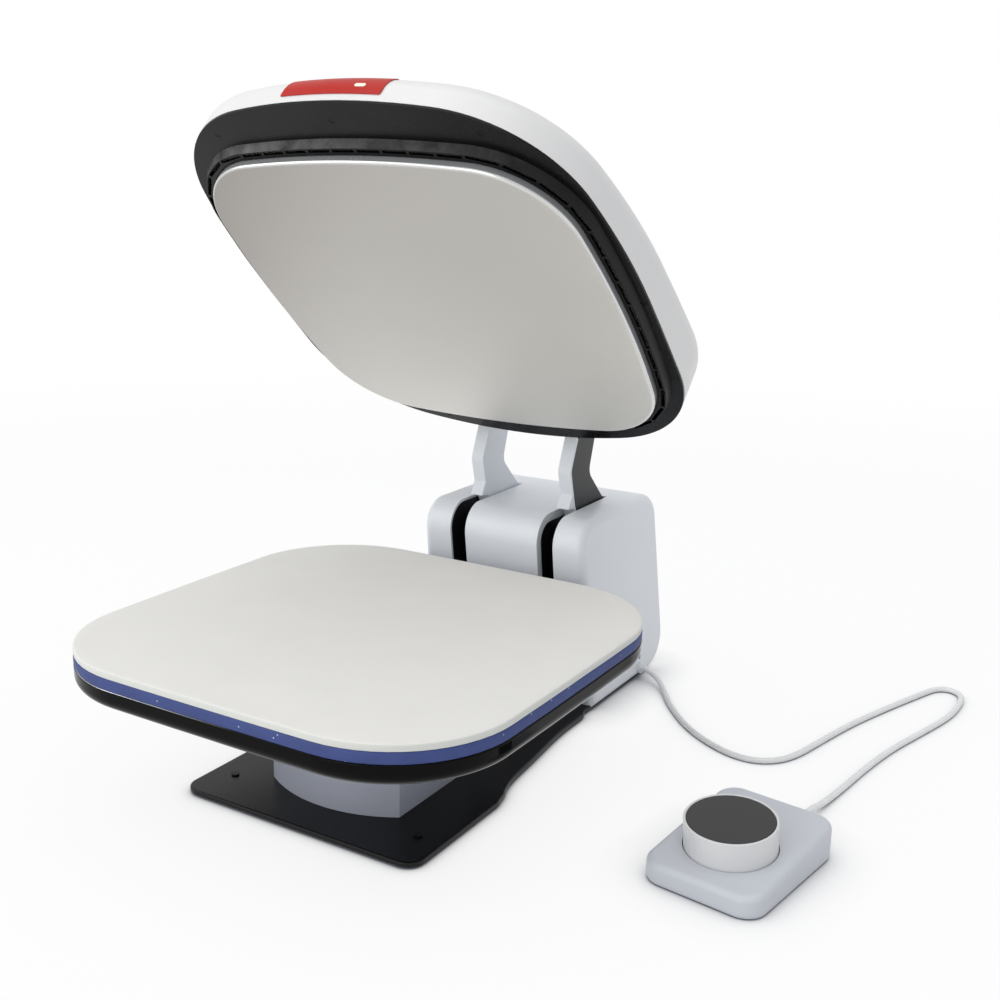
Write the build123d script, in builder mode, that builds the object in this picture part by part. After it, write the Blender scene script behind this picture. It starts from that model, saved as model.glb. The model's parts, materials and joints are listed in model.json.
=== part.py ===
from build123d import *
from math import acos, atan2, cos, degrees, hypot, pi, radians, sin, sqrt, tan
import os

os.makedirs("parts", exist_ok=True)

# A flat heat press: a padded lower platen on a pedestal, a heated head on two gooseneck
# arms that tilt about a shaft in the rear tower, and a dial controller on a lead.
# Millimetres. Z is up, Y runs from the user to the tower, the origin is on the floor
# under the middle of the platen. The head is drawn open.

# Driving sizes: base and pedestal
FOOT_HEIGHT = 2.5
FOOT_RADIUS = 9.0
BASE_THICKNESS = 4.0
BASE_FRONT = -108.0
BASE_REAR = 404.0
BASE_HALF_WIDTH = 124.0
BASE_NECK_HALF_WIDTH = 100.0
BASE_HEEL_HALF_WIDTH = 96.0
BASE_CORNER = 16.0
PEDESTAL_HEIGHT = 111.5
PEDESTAL_HALF_WIDTH = 69.0
PEDESTAL_FRONT = -48.0
PEDESTAL_REAR = 66.0
PEDESTAL_BOW = 21.0
PEDESTAL_WALL = 2.6

# Driving sizes: lower platen stack
TRAY_THICKNESS = 18.0
TRAY_RECESS = 1.5
SILICONE_THICKNESS = 10.0
PAD_THICKNESS = 6.0
PAD_HALF = 208.0
PAD_CORNER = 106.0
PAD_BOW = 10000.0

# Driving sizes: hinge
OPEN_ANGLE = 43.2
PIVOT_Y = 388.5
SHAFT_RADIUS = 7.0
BUSH_RADIUS = 10.0
ARM_INNER_X = 44.3
ARM_OUTER_X = 58.0
ARM_COVER_SIDE = 5.6
ARM_COVER_FRONT = 2.4
HUB_RADIUS = 15.0

# Driving sizes: head
CLOSED_GAP = 0.8
PLATE_PROUD = 14.5
PLATE_THICKNESS = 12.0
PLATE_EDGE_ROUND = 3.0
PLATE_HALF_X = 187.2
PLATE_HALF_Y = 183.5
PLATE_CORNER = 84.0
PLATE_BOW_X = 938.0
PLATE_BOW_Y = 886.0
HEAD_HALF_X = 206.3
HEAD_FRONT = 223.5
HEAD_REAR = 232.4
HEAD_CORNER = 124.0
HEAD_FRONT_SIDE_BOW = 582.0
HEAD_FRONT_BOW = 525.0
HEAD_REAR_SIDE_BOW = 4000.0
HEAD_REAR_BOW = 453.0
HEAD_SHIFT = -9.7
HEAD_FRONT_HEIGHT = 36.5
HEAD_REAR_HEIGHT = 69.5
HEAD_EDGE_ROUND = 24.0
HEAD_WALL = 2.6
BEZEL_LIP = 2.0
BEZEL_THICKNESS = 3.0
VENT_RING_WIDTH = 8.4
VENT_RING_DROP = 7.5
VENT_STEP_DRAFT = 3.1
VENT_PITCH_FRONT = 24.0
VENT_PITCH_CORNER = 27.0
VENT_PITCH_SIDE = 30.0
VENT_SLOT_WIDTH = 3.2
VENT_SLOT_PLACE = 5.4
VENT_RIB = 3.0

# Driving sizes: tower
TOWER_HALF_WIDTH = 92.5
TOWER_FOOT_HALF_WIDTH = 100.5
TOWER_FOOT = 3.0
TOWER_TOP = 203.0
TOWER_FRONT_TOP = 226.0
TOWER_FRONT_FOOT = 255.0
TOWER_REAR_TOP = 404.0
TOWER_REAR_FOOT = 433.0
TOWER_WALL = 2.8
SLOT_CLEARANCE = 2.2
SLOT_LIP = 9.0
SLOT_REAR = 350.0
SLOT_FOOT = 104.0
LINER_WALL = 1.5
FRAME_INNER_X = 66.0
FRAME_THICKNESS = 4.0

# Driving sizes: drive
GEAR_MODULE = 2.0
SECTOR_TEETH = 56
PINION_TEETH = 16
MESH_ANGLE = 212.0
GEAR_HALF_WIDTH = 4.0
GEAR_BACKLASH = 0.35
MOTOR_RADIUS = 18.5
MOTOR_LENGTH = 30.0

# Driving sizes: controller
CONTROLLER_X = 333.6
CONTROLLER_Y = 48.1
CONTROLLER_YAW = -7.7
CONTROLLER_HALF_WIDTH = 51.0
CONTROLLER_HALF_DEPTH = 71.0
CONTROLLER_CORNER = 18.6
CONTROLLER_HEIGHT = 25.1
CONTROLLER_SLOPE = 5.4
CONTROLLER_WALL = 2.2
DIAL_X = -1.6
DIAL_Y = -13.6
DIAL_RADIUS = 37.1
DIAL_HEIGHT = 24.0
DIAL_WALL = 2.0
PRESS_TRAVEL = 1.2
LEAD_RADIUS = 2.8

# Clearances
SEAT = 0.1
RUNNING = 0.06
FREE = 0.3
PLATE_GAP = 0.8
DIAL_GAP = 0.8

# Levels of the stack, worked up from the floor
base_top = FOOT_HEIGHT + BASE_THICKNESS
tray_bottom = base_top + PEDESTAL_HEIGHT
tray_top = tray_bottom + TRAY_THICKNESS
silicone_top = tray_top + SILICONE_THICKNESS
pad_top = silicone_top + PAD_THICKNESS
pivot_z = pad_top

# The head's own frame: x across, v towards its rear, w up through its cover.
# Closed, v and w lie along Y and Z. Open, they are turned back about the pivot.
tilt = radians(OPEN_ANGLE)
closed_rise = pad_top + CLOSED_GAP + PLATE_PROUD - pivot_z
head_y = PIVOT_Y - PIVOT_Y * cos(tilt) + closed_rise * sin(tilt)
head_z = pivot_z + PIVOT_Y * sin(tilt) + closed_rise * cos(tilt)
head_rear = Vector(0, cos(tilt), -sin(tilt))
head_up = Vector(0, sin(tilt), cos(tilt))
head_axis = Axis((0, head_y, head_z), head_up)
hub_v = PIVOT_Y
hub_w = -closed_rise

plate_shape = (PLATE_HALF_X, PLATE_HALF_Y, PLATE_CORNER, PLATE_BOW_X, PLATE_BOW_Y)
head_front_shape = (HEAD_HALF_X, HEAD_FRONT, HEAD_CORNER, HEAD_FRONT_SIDE_BOW, HEAD_FRONT_BOW)
head_rear_shape = (HEAD_HALF_X, HEAD_REAR, HEAD_CORNER, HEAD_REAR_SIDE_BOW, HEAD_REAR_BOW)
pad_shape = (PAD_HALF, PAD_HALF, PAD_CORNER, PAD_BOW, PAD_BOW)


def head_level(w, v=0.0):
    """Plane across the head at height w, its origin moved v towards the rear."""
    origin = Vector(0, head_y, head_z) + head_rear * v + head_up * w
    return Plane(origin=origin, x_dir=(1, 0, 0), z_dir=head_up)


def head_side(x):
    """Plane along the head at x, drawn in (v, w)."""
    return Plane(origin=(x, head_y, head_z), x_dir=head_rear, z_dir=(1, 0, 0))


def side_plane(x):
    """Upright plane at x, drawn in (Y, Z)."""
    return Plane(origin=(x, 0, 0), x_dir=(0, 1, 0), z_dir=(1, 0, 0))


def grown(shape, amount):
    """The parallel outline that lies outside a bowed outline by an amount."""
    return tuple(size + amount for size in shape)


def bowed_corner(shape):
    """Centre of a bowed outline's corner, and the angles where its arc starts and ends."""
    half_x, half_y, corner, bow_x, bow_y = shape
    side_x = half_x - bow_x
    side_y = half_y - bow_y
    reach = hypot(side_x, side_y)
    near = ((bow_x - corner) ** 2 - (bow_y - corner) ** 2 + reach**2) / (2 * reach)
    off = sqrt((bow_x - corner) ** 2 - near**2)
    corner_x = side_x - near * side_x / reach - off * side_y / reach
    corner_y = near * side_y / reach - off * side_x / reach
    start = atan2(corner_y, corner_x - side_x)
    end = atan2(corner_y - side_y, corner_x)
    return corner_x, corner_y, start, end


def bowed_face(shape):
    """Fill a square with round corners whose four sides bow outwards on tangent arcs."""
    half_x, half_y, corner, bow_x, bow_y = shape
    corner_x, corner_y, start, end = bowed_corner(shape)
    middle = (start + end) / 2
    side = (corner_x + corner * cos(start), corner_y + corner * sin(start))
    top = (corner_x + corner * cos(end), corner_y + corner * sin(end))
    crown = (corner_x + corner * cos(middle), corner_y + corner * sin(middle))
    with BuildSketch() as outline:
        with BuildLine():
            for sx in (1, -1):
                ThreePointArc((sx * side[0], -side[1]), (sx * half_x, 0), (sx * side[0], side[1]))
                ThreePointArc((-top[0], sx * top[1]), (0, sx * half_y), (top[0], sx * top[1]))
                for sy in (1, -1):
                    ThreePointArc(
                        (sx * side[0], sy * side[1]),
                        (sx * crown[0], sy * crown[1]),
                        (sx * top[0], sy * top[1]),
                    )
        make_face()
    return outline.sketch_local


def head_face(amount):
    """The head's outline grown by an amount: it's squarer at the rear than at the front."""
    cut = 2 * (HEAD_HALF_X + amount)
    with BuildSketch() as front_half:
        add(bowed_face(grown(head_front_shape, amount)))
        Rectangle(cut, 2 * cut, align=(Align.CENTER, Align.MAX), mode=Mode.INTERSECT)
    with BuildSketch() as outline:
        add(bowed_face(grown(head_rear_shape, amount)))
        Rectangle(cut, 2 * cut, align=(Align.CENTER, Align.MIN), mode=Mode.INTERSECT)
        add(front_half.sketch)
    return outline.sketch_local


def bowed_stations(shape, side_pitch, corner_pitch, end_pitch):
    """Places along a bowed outline with their pitch, each turned to lie along it."""
    half_x, half_y, corner, bow_x, bow_y = shape
    corner_x, corner_y, start, end = bowed_corner(shape)
    arcs = [
        ((half_x - bow_x, 0), bow_x, -start, start, side_pitch),
        ((corner_x, corner_y), corner, start, end, corner_pitch),
        ((0, half_y - bow_y), bow_y, end, pi - end, end_pitch),
        ((-corner_x, corner_y), corner, pi - end, pi - start, corner_pitch),
        ((bow_x - half_x, 0), bow_x, pi - start, pi + start, side_pitch),
        ((-corner_x, -corner_y), corner, pi + start, pi + end, corner_pitch),
        ((0, bow_y - half_y), bow_y, pi + end, 2 * pi - end, end_pitch),
        ((corner_x, -corner_y), corner, 2 * pi - end, 2 * pi - start, corner_pitch),
    ]
    places = []
    for (cx, cy), radius, low, high, pitch in arcs:
        count = max(1, round(radius * (high - low) / pitch))
        for step in range(count):
            angle = low + (high - low) * (step + 0.5) / count
            spot = (cx + radius * cos(angle), cy + radius * sin(angle))
            place = Location((spot[0], spot[1], 0), (0, 0, degrees(angle) + 90))
            places.append((place, radius * (high - low) / count))
    return places


def save(part, name):
    """Name a finished piece and write it."""
    part.label = name
    export_step(part, f"parts/{name}.step")


# Base plate, feet and screws

foot_spots = [(-100, -65), (100, -65), (-78, 376), (78, 376)]
heel_start = TOWER_FRONT_FOOT - 12
foot_screw_radius = 2.0
foot_screw_head = 3.6
foot_screw_head_height = 1.4

with BuildPart() as base_plate:
    with BuildSketch(Plane.XY.offset(FOOT_HEIGHT)):
        with BuildLine():
            for side in (1, -1):
                shoulder = (side * (BASE_HALF_WIDTH - 4), 42)
                neck = (side * BASE_NECK_HALF_WIDTH, 205)
                Line((0, BASE_FRONT), (side * BASE_HALF_WIDTH, BASE_FRONT))
                Line((side * BASE_HALF_WIDTH, BASE_FRONT), (side * BASE_HALF_WIDTH, 24))
                Line((side * BASE_HALF_WIDTH, 24), shoulder)
                Spline(shoulder, (side * 108, 108), neck, tangents=[(-side * 0.5, 1), (0, 1)])
                neck_end = (side * BASE_NECK_HALF_WIDTH, heel_start - 10)
                heel = (side * BASE_HEEL_HALF_WIDTH, heel_start)
                Polyline(neck, neck_end, heel, (side * BASE_HEEL_HALF_WIDTH, BASE_REAR), (0, BASE_REAR))
        make_face()
    extrude(amount=BASE_THICKNESS)
    front_corners = base_plate.edges().filter_by(Axis.Z).group_by(Axis.Y)[0]
    fillet(front_corners, radius=BASE_CORNER)
    rear_corners = base_plate.edges().filter_by(Axis.Z).group_by(Axis.Y)[-1]
    fillet(rear_corners, radius=BASE_CORNER)
    fillet(base_plate.faces().sort_by(Axis.Z)[-1].outer_wire().edges(), radius=1.6)
    with Locations(*[(x, y, base_top) for x, y in foot_spots]):
        Hole(radius=foot_screw_radius + SEAT)
save(base_plate.part, "base_plate")

with BuildPart() as rubber_feet:
    with BuildSketch():
        with Locations(*foot_spots):
            Circle(FOOT_RADIUS)
        Circle(FOOT_RADIUS)
    extrude(amount=FOOT_HEIGHT)
    with BuildSketch(Plane.XY.offset(1)):
        with Locations(*foot_spots):
            Circle(foot_screw_radius + SEAT)
    extrude(amount=FOOT_HEIGHT, mode=Mode.SUBTRACT)
save(rubber_feet.part, "rubber_feet")

with BuildPart() as foot_screws:
    with BuildSketch(Plane.XY.offset(1.5)):
        with Locations(*foot_spots):
            Circle(foot_screw_radius)
    extrude(amount=base_top - 1.5)
    with BuildSketch(Plane.XY.offset(base_top)):
        with Locations(*foot_spots):
            Circle(foot_screw_head)
    extrude(amount=foot_screw_head_height)
save(foot_screws.part, "foot_screws")

# Pedestal: a pressed shell round a square steel column

with BuildPart() as pedestal_shell:
    with BuildSketch(Plane.XY.offset(base_top)):
        with BuildLine():
            rear_left = (-PEDESTAL_HALF_WIDTH, PEDESTAL_REAR)
            rear_right = (PEDESTAL_HALF_WIDTH, PEDESTAL_REAR)
            front_left = (-PEDESTAL_HALF_WIDTH, PEDESTAL_FRONT)
            front_right = (PEDESTAL_HALF_WIDTH, PEDESTAL_FRONT)
            Polyline(front_right, rear_right, rear_left, front_left)
            ThreePointArc(front_left, (0, PEDESTAL_FRONT - PEDESTAL_BOW), front_right)
        make_face()
        offset(amount=-PEDESTAL_WALL, mode=Mode.SUBTRACT)
    extrude(amount=PEDESTAL_HEIGHT)
save(pedestal_shell.part, "pedestal_shell")

column_half = 38.0
column_wall = 3.0
flange_half = 55.0
flange_thickness = 4.0
flange_hole_spacing = 92.0
tray_screw_radius = 3.0
tray_screw_head = 5.6

with BuildPart() as pedestal_column:
    with BuildSketch(Plane.XY.offset(base_top)):
        Rectangle(2 * column_half, 2 * column_half)
        Rectangle(2 * (column_half - column_wall), 2 * (column_half - column_wall), mode=Mode.SUBTRACT)
    extrude(amount=PEDESTAL_HEIGHT)
    with BuildSketch(Plane.XY.offset(base_top), Plane.XY.offset(tray_bottom - flange_thickness)):
        RectangleRounded(2 * flange_half, 2 * flange_half - 14, 6)
        Rectangle(2 * (column_half - column_wall), 2 * (column_half - column_wall), mode=Mode.SUBTRACT)
    extrude(amount=flange_thickness)
    with Locations(Plane.XY.offset(tray_bottom)):
        with GridLocations(flange_hole_spacing, flange_hole_spacing - 10, 2, 2):
            Hole(radius=tray_screw_radius + SEAT, depth=flange_thickness)
save(pedestal_column.part, "pedestal_column")

# Lower platen: a cast tray with a rounded underside and a shallow recess under it, and two pads

tray_round = 10.0
tray_band = 14.0
tray_boss = 60.0

with BuildPart() as lower_tray:
    with BuildSketch(Plane.XY.offset(tray_bottom)):
        add(bowed_face(pad_shape))
    extrude(amount=TRAY_THICKNESS)
    fillet(lower_tray.faces().sort_by(Axis.Z)[0].edges(), radius=tray_round)
    fillet(lower_tray.faces().sort_by(Axis.Z)[-1].edges(), radius=1.5)
    with BuildSketch(Plane.XY.offset(tray_bottom)):
        add(bowed_face(grown(pad_shape, -tray_round - tray_band)))
        Rectangle(2 * tray_boss, 2 * tray_boss, mode=Mode.SUBTRACT)
    extrude(amount=TRAY_RECESS, mode=Mode.SUBTRACT)
    with Locations(Plane.XY.offset(tray_top)):
        with GridLocations(flange_hole_spacing, flange_hole_spacing - 10, 2, 2):
            CounterBoreHole(tray_screw_radius + SEAT, tray_screw_head + SEAT, 4.2)
save(lower_tray.part, "lower_tray")

with BuildPart() as tray_screws:
    with Locations(Plane.XY.offset(tray_top - 0.2)):
        with GridLocations(flange_hole_spacing, flange_hole_spacing - 10, 2, 2):
            Cylinder(tray_screw_head, 4.0, align=(Align.CENTER, Align.CENTER, Align.MAX))
            Cylinder(tray_screw_radius, TRAY_THICKNESS + 3, align=(Align.CENTER, Align.CENTER, Align.MAX))
save(tray_screws.part, "tray_screws")

with BuildPart() as silicone_pad:
    with BuildSketch(Plane.XY.offset(tray_top)):
        add(bowed_face(pad_shape))
    extrude(amount=SILICONE_THICKNESS)
save(silicone_pad.part, "silicone_pad")

with BuildPart() as top_pad:
    with BuildSketch(Plane.XY.offset(silicone_top)):
        add(bowed_face(pad_shape))
    extrude(amount=PAD_THICKNESS)
    fillet(top_pad.faces().sort_by(Axis.Z)[-1].edges(), radius=2.2)
save(top_pad.part, "top_pad")

# Tower: a moulded shell that leans forward, drawn from the side

slot_inner_x = ARM_INNER_X - SLOT_CLEARANCE
slot_outer_x = ARM_OUTER_X + SLOT_CLEARANCE
front_slope = (TOWER_FRONT_FOOT - TOWER_FRONT_TOP) / (TOWER_TOP - base_top)
rear_slope = (TOWER_REAR_FOOT - TOWER_REAR_TOP) / (TOWER_TOP - base_top)
side_slope = (TOWER_FOOT_HALF_WIDTH - TOWER_HALF_WIDTH) / (TOWER_TOP - TOWER_FOOT)
tower_foot_round = 36.0
tower_rear_round = 30.0
tower_front_round = 27.0


def tower_front(z):
    """Y of the tower's leaning front face at height z."""
    return TOWER_FRONT_TOP + front_slope * (TOWER_TOP - z)


def tower_rear(z):
    """Y of the tower's leaning rear face at height z."""
    return TOWER_REAR_TOP + rear_slope * (TOWER_TOP - z)


def tower_side(z):
    """Half the tower's width at height z."""
    return TOWER_HALF_WIDTH + side_slope * (TOWER_TOP - z)


def tower_face(inset):
    """Side outline of the tower, or of the space a given depth inside it, drawn in (Y, Z)."""
    foot = TOWER_FOOT - inset * 0.4
    head = TOWER_TOP - inset
    corners = [
        (tower_front(foot) + inset, foot),
        (tower_rear(foot) - inset, foot),
        (tower_rear(head) - inset, head),
        (tower_front(head) + inset, head),
    ]
    rounds = [0, tower_foot_round - inset, tower_rear_round - inset, tower_front_round - inset]
    with BuildSketch() as outline:
        with BuildLine():
            Polyline(*corners, close=True)
        make_face()
        for corner, corner_round in zip(corners[1:], rounds[1:]):
            fillet(outline.vertices().sort_by_distance(corner)[0], radius=corner_round)
    return outline.sketch_local


tower_side_round = 9.0
inlet_x = -38.0
switch_x = 26.0
panel_z = 68.0
inlet_body = (27.0, 19.6)
switch_body = (12.6, 18.4)
gland_y = 366.0
gland_z = 13.4
gland_radius = 4.6
side_screw_z = 25.0
side_screw_radius = 2.6


def rear_panel(x, depth=0.0):
    """Plane on the tower's rear face at x, moved out by depth."""
    normal = Vector(0, 1, rear_slope).normalized()
    origin = Vector(x, tower_rear(panel_z), panel_z) + normal * depth
    return Plane(origin=origin, x_dir=(-1, 0, 0), z_dir=normal)


def right_wall(y, z, depth=0.0):
    """Plane on the tower's right side at y and z, moved out by depth."""
    normal = Vector(1, 0, side_slope).normalized()
    return Plane(origin=Vector(tower_side(z), y, z) + normal * depth, x_dir=(0, 1, 0), z_dir=normal)


def tower_block(inset):
    """The tower's form, or the space a given depth inside it: drafted sides, round edges."""
    low = TOWER_FOOT - inset
    low_half = tower_side(low) - inset
    high_half = tower_side(TOWER_TOP) - inset
    with BuildPart() as block:
        with BuildSketch(side_plane(-low_half)):
            add(tower_face(inset))
        extrude(amount=2 * low_half)
        with BuildSketch(Plane.XZ):
            with BuildLine():
                Polyline(
                    (-low_half, low),
                    (low_half, low),
                    (high_half, TOWER_TOP),
                    (-high_half, TOWER_TOP),
                    close=True,
                )
            make_face()
        extrude(amount=-2 * PIVOT_Y, mode=Mode.INTERSECT)
        for side in (0, -1):
            face = block.faces().sort_by(Axis.X)[side]
            fillet(face.edges().group_by(Axis.Z)[1:], radius=tower_side_round - inset)
    return block.part


with BuildPart() as tower_shell:
    add(tower_block(0))
    add(tower_block(TOWER_WALL), mode=Mode.SUBTRACT)
    with BuildSketch():
        with Locations((0, BASE_REAR + SEAT)):
            heel_width = 2 * (BASE_HEEL_HALF_WIDTH + SEAT)
            Rectangle(heel_width, BASE_REAR - heel_start + SEAT, align=(Align.CENTER, Align.MAX))
    extrude(amount=base_top, mode=Mode.SUBTRACT)
    slot_middle = (slot_inner_x + slot_outer_x) / 2
    for side in (-1, 1):
        with BuildSketch(Plane.XY.offset(SLOT_FOOT)):
            with Locations((side * slot_middle, SLOT_REAR)):
                slot_width = slot_outer_x - slot_inner_x
                Rectangle(slot_width, SLOT_REAR - 200, align=(Align.CENTER, Align.MAX))
        extrude(amount=TOWER_TOP, mode=Mode.SUBTRACT)
        with BuildSketch(side_plane(side * slot_inner_x)):
            add(tower_face(0))
            add(tower_face(SLOT_LIP), mode=Mode.SUBTRACT)
            with Locations((SLOT_REAR, SLOT_FOOT)):
                lip_box = (SLOT_REAR - 200, TOWER_TOP - SLOT_FOOT)
                Rectangle(*lip_box, align=(Align.MAX, Align.MIN), mode=Mode.INTERSECT)
        extrude(amount=-side * TOWER_WALL)
    with BuildSketch(rear_panel(inlet_x, 1)):
        Rectangle(inlet_body[0] + 2 * SEAT, inlet_body[1] + 2 * SEAT)
    extrude(amount=-8, mode=Mode.SUBTRACT)
    with BuildSketch(rear_panel(switch_x, 1)):
        Rectangle(switch_body[0] + 2 * SEAT, switch_body[1] + 2 * SEAT)
    extrude(amount=-8, mode=Mode.SUBTRACT)
    with BuildSketch(right_wall(gland_y, gland_z, 1)):
        Circle(gland_radius + SEAT)
    extrude(amount=-8, mode=Mode.SUBTRACT)
    with BuildSketch(right_wall(gland_y, side_screw_z, 1)):
        Circle(side_screw_radius)
    extrude(amount=-8, mode=Mode.SUBTRACT)
save(tower_shell.part, "tower_shell")

liner_foot = SLOT_FOOT - 4
liner_front = tower_front(SLOT_FOOT) + SLOT_LIP + 1

for name, side in (("slot_liner_left", -1), ("slot_liner_right", 1)):
    with BuildPart() as slot_liner:
        for wall, inset in ((slot_inner_x, SLOT_LIP), (slot_outer_x + LINER_WALL, TOWER_WALL)):
            with BuildSketch(side_plane(side * wall)):
                add(tower_face(inset + SEAT))
                with Locations((SLOT_REAR + 2, liner_foot)):
                    liner_box = (SLOT_REAR - 200, TOWER_TOP - liner_foot)
                    Rectangle(*liner_box, align=(Align.MAX, Align.MIN), mode=Mode.INTERSECT)
            extrude(amount=-side * LINER_WALL)
        with BuildSketch(side_plane(side * (slot_inner_x - LINER_WALL))):
            with Locations((SLOT_REAR + 2, liner_foot)):
                floor_size = (SLOT_REAR + 2 - liner_front, LINER_WALL)
                Rectangle(*floor_size, align=(Align.MAX, Align.MIN))
        extrude(amount=side * (slot_outer_x - slot_inner_x + 2 * LINER_WALL))
    save(slot_liner.part, name)

# Steel frame inside the tower, which carries the hinge shaft

frame_front = 300.0
frame_rear = 392.0
frame_floor = 3.5

with BuildPart() as tower_frame:
    for x in (-FRAME_INNER_X - FRAME_THICKNESS, FRAME_INNER_X):
        with BuildSketch(side_plane(x)):
            with BuildLine():
                Polyline(
                    (frame_front, base_top),
                    (frame_rear, base_top),
                    (frame_rear + 10, pivot_z - 4),
                    (frame_rear + 10, pivot_z + 8),
                    (PIVOT_Y, pivot_z + 16),
                    (PIVOT_Y - 14, pivot_z + 12),
                    (frame_front, base_top + 50),
                    close=True,
                )
            make_face()
            with Locations((PIVOT_Y, pivot_z)):
                Circle(BUSH_RADIUS + SEAT, mode=Mode.SUBTRACT)
        extrude(amount=FRAME_THICKNESS)
    with BuildSketch(Plane.XY.offset(base_top)):
        with Locations((0, frame_front)):
            Rectangle(2 * FRAME_INNER_X, frame_rear - frame_front, align=(Align.CENTER, Align.MIN))
    extrude(amount=frame_floor)
    with BuildSketch(Plane.XY.offset(base_top)):
        with Locations((0, frame_rear)):
            Rectangle(2 * FRAME_INNER_X, frame_floor, align=(Align.CENTER, Align.MAX))
    extrude(amount=62)
save(tower_frame.part, "tower_frame")

with BuildPart() as frame_bolts:
    with Locations(Plane.XY.offset(base_top + frame_floor)):
        with Locations((-59, 322), (59, 322), (-59, 374), (59, 374)):
            Cylinder(4.8, 3.6, align=(Align.CENTER, Align.CENTER, Align.MIN))
save(frame_bolts.part, "frame_bolts")

bush_flange = 2.0
bush_flange_radius = 13.0

with BuildPart() as shaft_bushes:
    for side in (-1, 1):
        with BuildSketch(side_plane(side * (FRAME_INNER_X - bush_flange - SEAT))):
            with Locations((PIVOT_Y, pivot_z)):
                Circle(bush_flange_radius)
                Circle(SHAFT_RADIUS + RUNNING, mode=Mode.SUBTRACT)
        extrude(amount=side * bush_flange)
        with BuildSketch(side_plane(side * (FRAME_INNER_X - SEAT))):
            with Locations((PIVOT_Y, pivot_z)):
                Circle(BUSH_RADIUS)
                Circle(SHAFT_RADIUS + RUNNING, mode=Mode.SUBTRACT)
        extrude(amount=side * (FRAME_THICKNESS + 0.5))
save(shaft_bushes.part, "shaft_bushes")

shaft_half = 72.0
collar_radius = 10.0

with BuildPart() as hinge_shaft:
    with BuildSketch(side_plane(-shaft_half)):
        with Locations((PIVOT_Y, pivot_z)):
            Circle(SHAFT_RADIUS)
    extrude(amount=2 * shaft_half)
    chamfer(hinge_shaft.edges().filter_by(GeomType.CIRCLE), length=0.8)
save(hinge_shaft.part, "hinge_shaft")

with BuildPart() as shaft_spacers:
    collar_start = ARM_OUTER_X + SEAT
    collar_end = FRAME_INNER_X - bush_flange - FREE
    for side in (-1, 1):
        with BuildSketch(side_plane(side * collar_start)):
            with Locations((PIVOT_Y, pivot_z)):
                Circle(collar_radius)
                Circle(SHAFT_RADIUS + SEAT, mode=Mode.SUBTRACT)
        extrude(amount=side * (collar_end - collar_start))
save(shaft_spacers.part, "shaft_spacers")

# Drive: a toothed sector on the shaft and a pinion on the gear motor

pressure = radians(20)


def involute(angle):
    """Involute function of a pressure angle."""
    return tan(angle) - angle


def tooth_points(count, centre_angle):
    """One gear tooth as points round its flanks and tip, about the gear's own centre."""
    pitch_radius = GEAR_MODULE * count / 2
    base_radius = pitch_radius * cos(pressure)
    tip_radius = pitch_radius + GEAR_MODULE * 0.95
    root_radius = pitch_radius - GEAR_MODULE * 1.25
    thickness = pi * GEAR_MODULE / 2 - GEAR_BACKLASH
    half_angle = thickness / (2 * pitch_radius) + involute(pressure)
    low = max(base_radius, root_radius)
    flank = [(root_radius - 0.6, half_angle)]
    for step in range(4):
        radius = low + (tip_radius - low) * step / 3
        flank.append((radius, half_angle - involute(acos(min(1.0, base_radius / radius)))))
    right = [(r, centre_angle - a) for r, a in flank]
    left = [(r, centre_angle + a) for r, a in reversed(flank)]
    return [(r * cos(a), r * sin(a)) for r, a in right + left]


def gear_teeth(centre, count, angles):
    """A gear's teeth at the given angles about its centre."""
    with BuildSketch() as teeth:
        for angle in angles:
            with BuildLine():
                spots = [(centre[0] + x, centre[1] + y) for x, y in tooth_points(count, angle)]
                Polyline(*spots, close=True)
            make_face()
    return teeth.sketch_local


mesh = radians(MESH_ANGLE)
centre_distance = GEAR_MODULE * (SECTOR_TEETH + PINION_TEETH) / 2
pinion_y = PIVOT_Y + centre_distance * cos(mesh)
pinion_z = pivot_z + centre_distance * sin(mesh)
sector_step = 2 * pi / SECTOR_TEETH
pinion_step = 2 * pi / PINION_TEETH
teeth_before = int((OPEN_ANGLE + 10) / degrees(sector_step)) + 1
sector_root = GEAR_MODULE * (SECTOR_TEETH / 2 - 1.25)
pinion_root = GEAR_MODULE * (PINION_TEETH / 2 - 1.25)
sector_hub = 12.0
sector_hub_half = 10.0

with BuildPart() as sector_gear:
    with BuildSketch(side_plane(-GEAR_HALF_WIDTH)):
        low_angle = mesh - (teeth_before + 0.6) * sector_step
        high_angle = mesh + 2.6 * sector_step
        with BuildLine():
            rim_low = (PIVOT_Y + sector_root * cos(low_angle), pivot_z + sector_root * sin(low_angle))
            rim_high = (PIVOT_Y + sector_root * cos(high_angle), pivot_z + sector_root * sin(high_angle))
            half_way = (low_angle + high_angle) / 2
            rim_middle = (PIVOT_Y + sector_root * cos(half_way), pivot_z + sector_root * sin(half_way))
            ThreePointArc(rim_low, rim_middle, rim_high)
            Polyline(rim_high, (PIVOT_Y, pivot_z), rim_low)
        make_face()
        tooth_angles = [mesh + sector_step * k for k in range(-teeth_before, 3)]
        add(gear_teeth((PIVOT_Y, pivot_z), SECTOR_TEETH, tooth_angles))
    extrude(amount=2 * GEAR_HALF_WIDTH)
    with BuildSketch(side_plane(-sector_hub_half)):
        with Locations((PIVOT_Y, pivot_z)):
            Circle(sector_hub)
    extrude(amount=2 * sector_hub_half)
    with BuildSketch(side_plane(-sector_hub_half)):
        with Locations((PIVOT_Y, pivot_z)):
            Circle(SHAFT_RADIUS + SEAT)
    extrude(amount=2 * sector_hub_half, mode=Mode.SUBTRACT)
save(sector_gear.part, "sector_gear")

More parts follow.
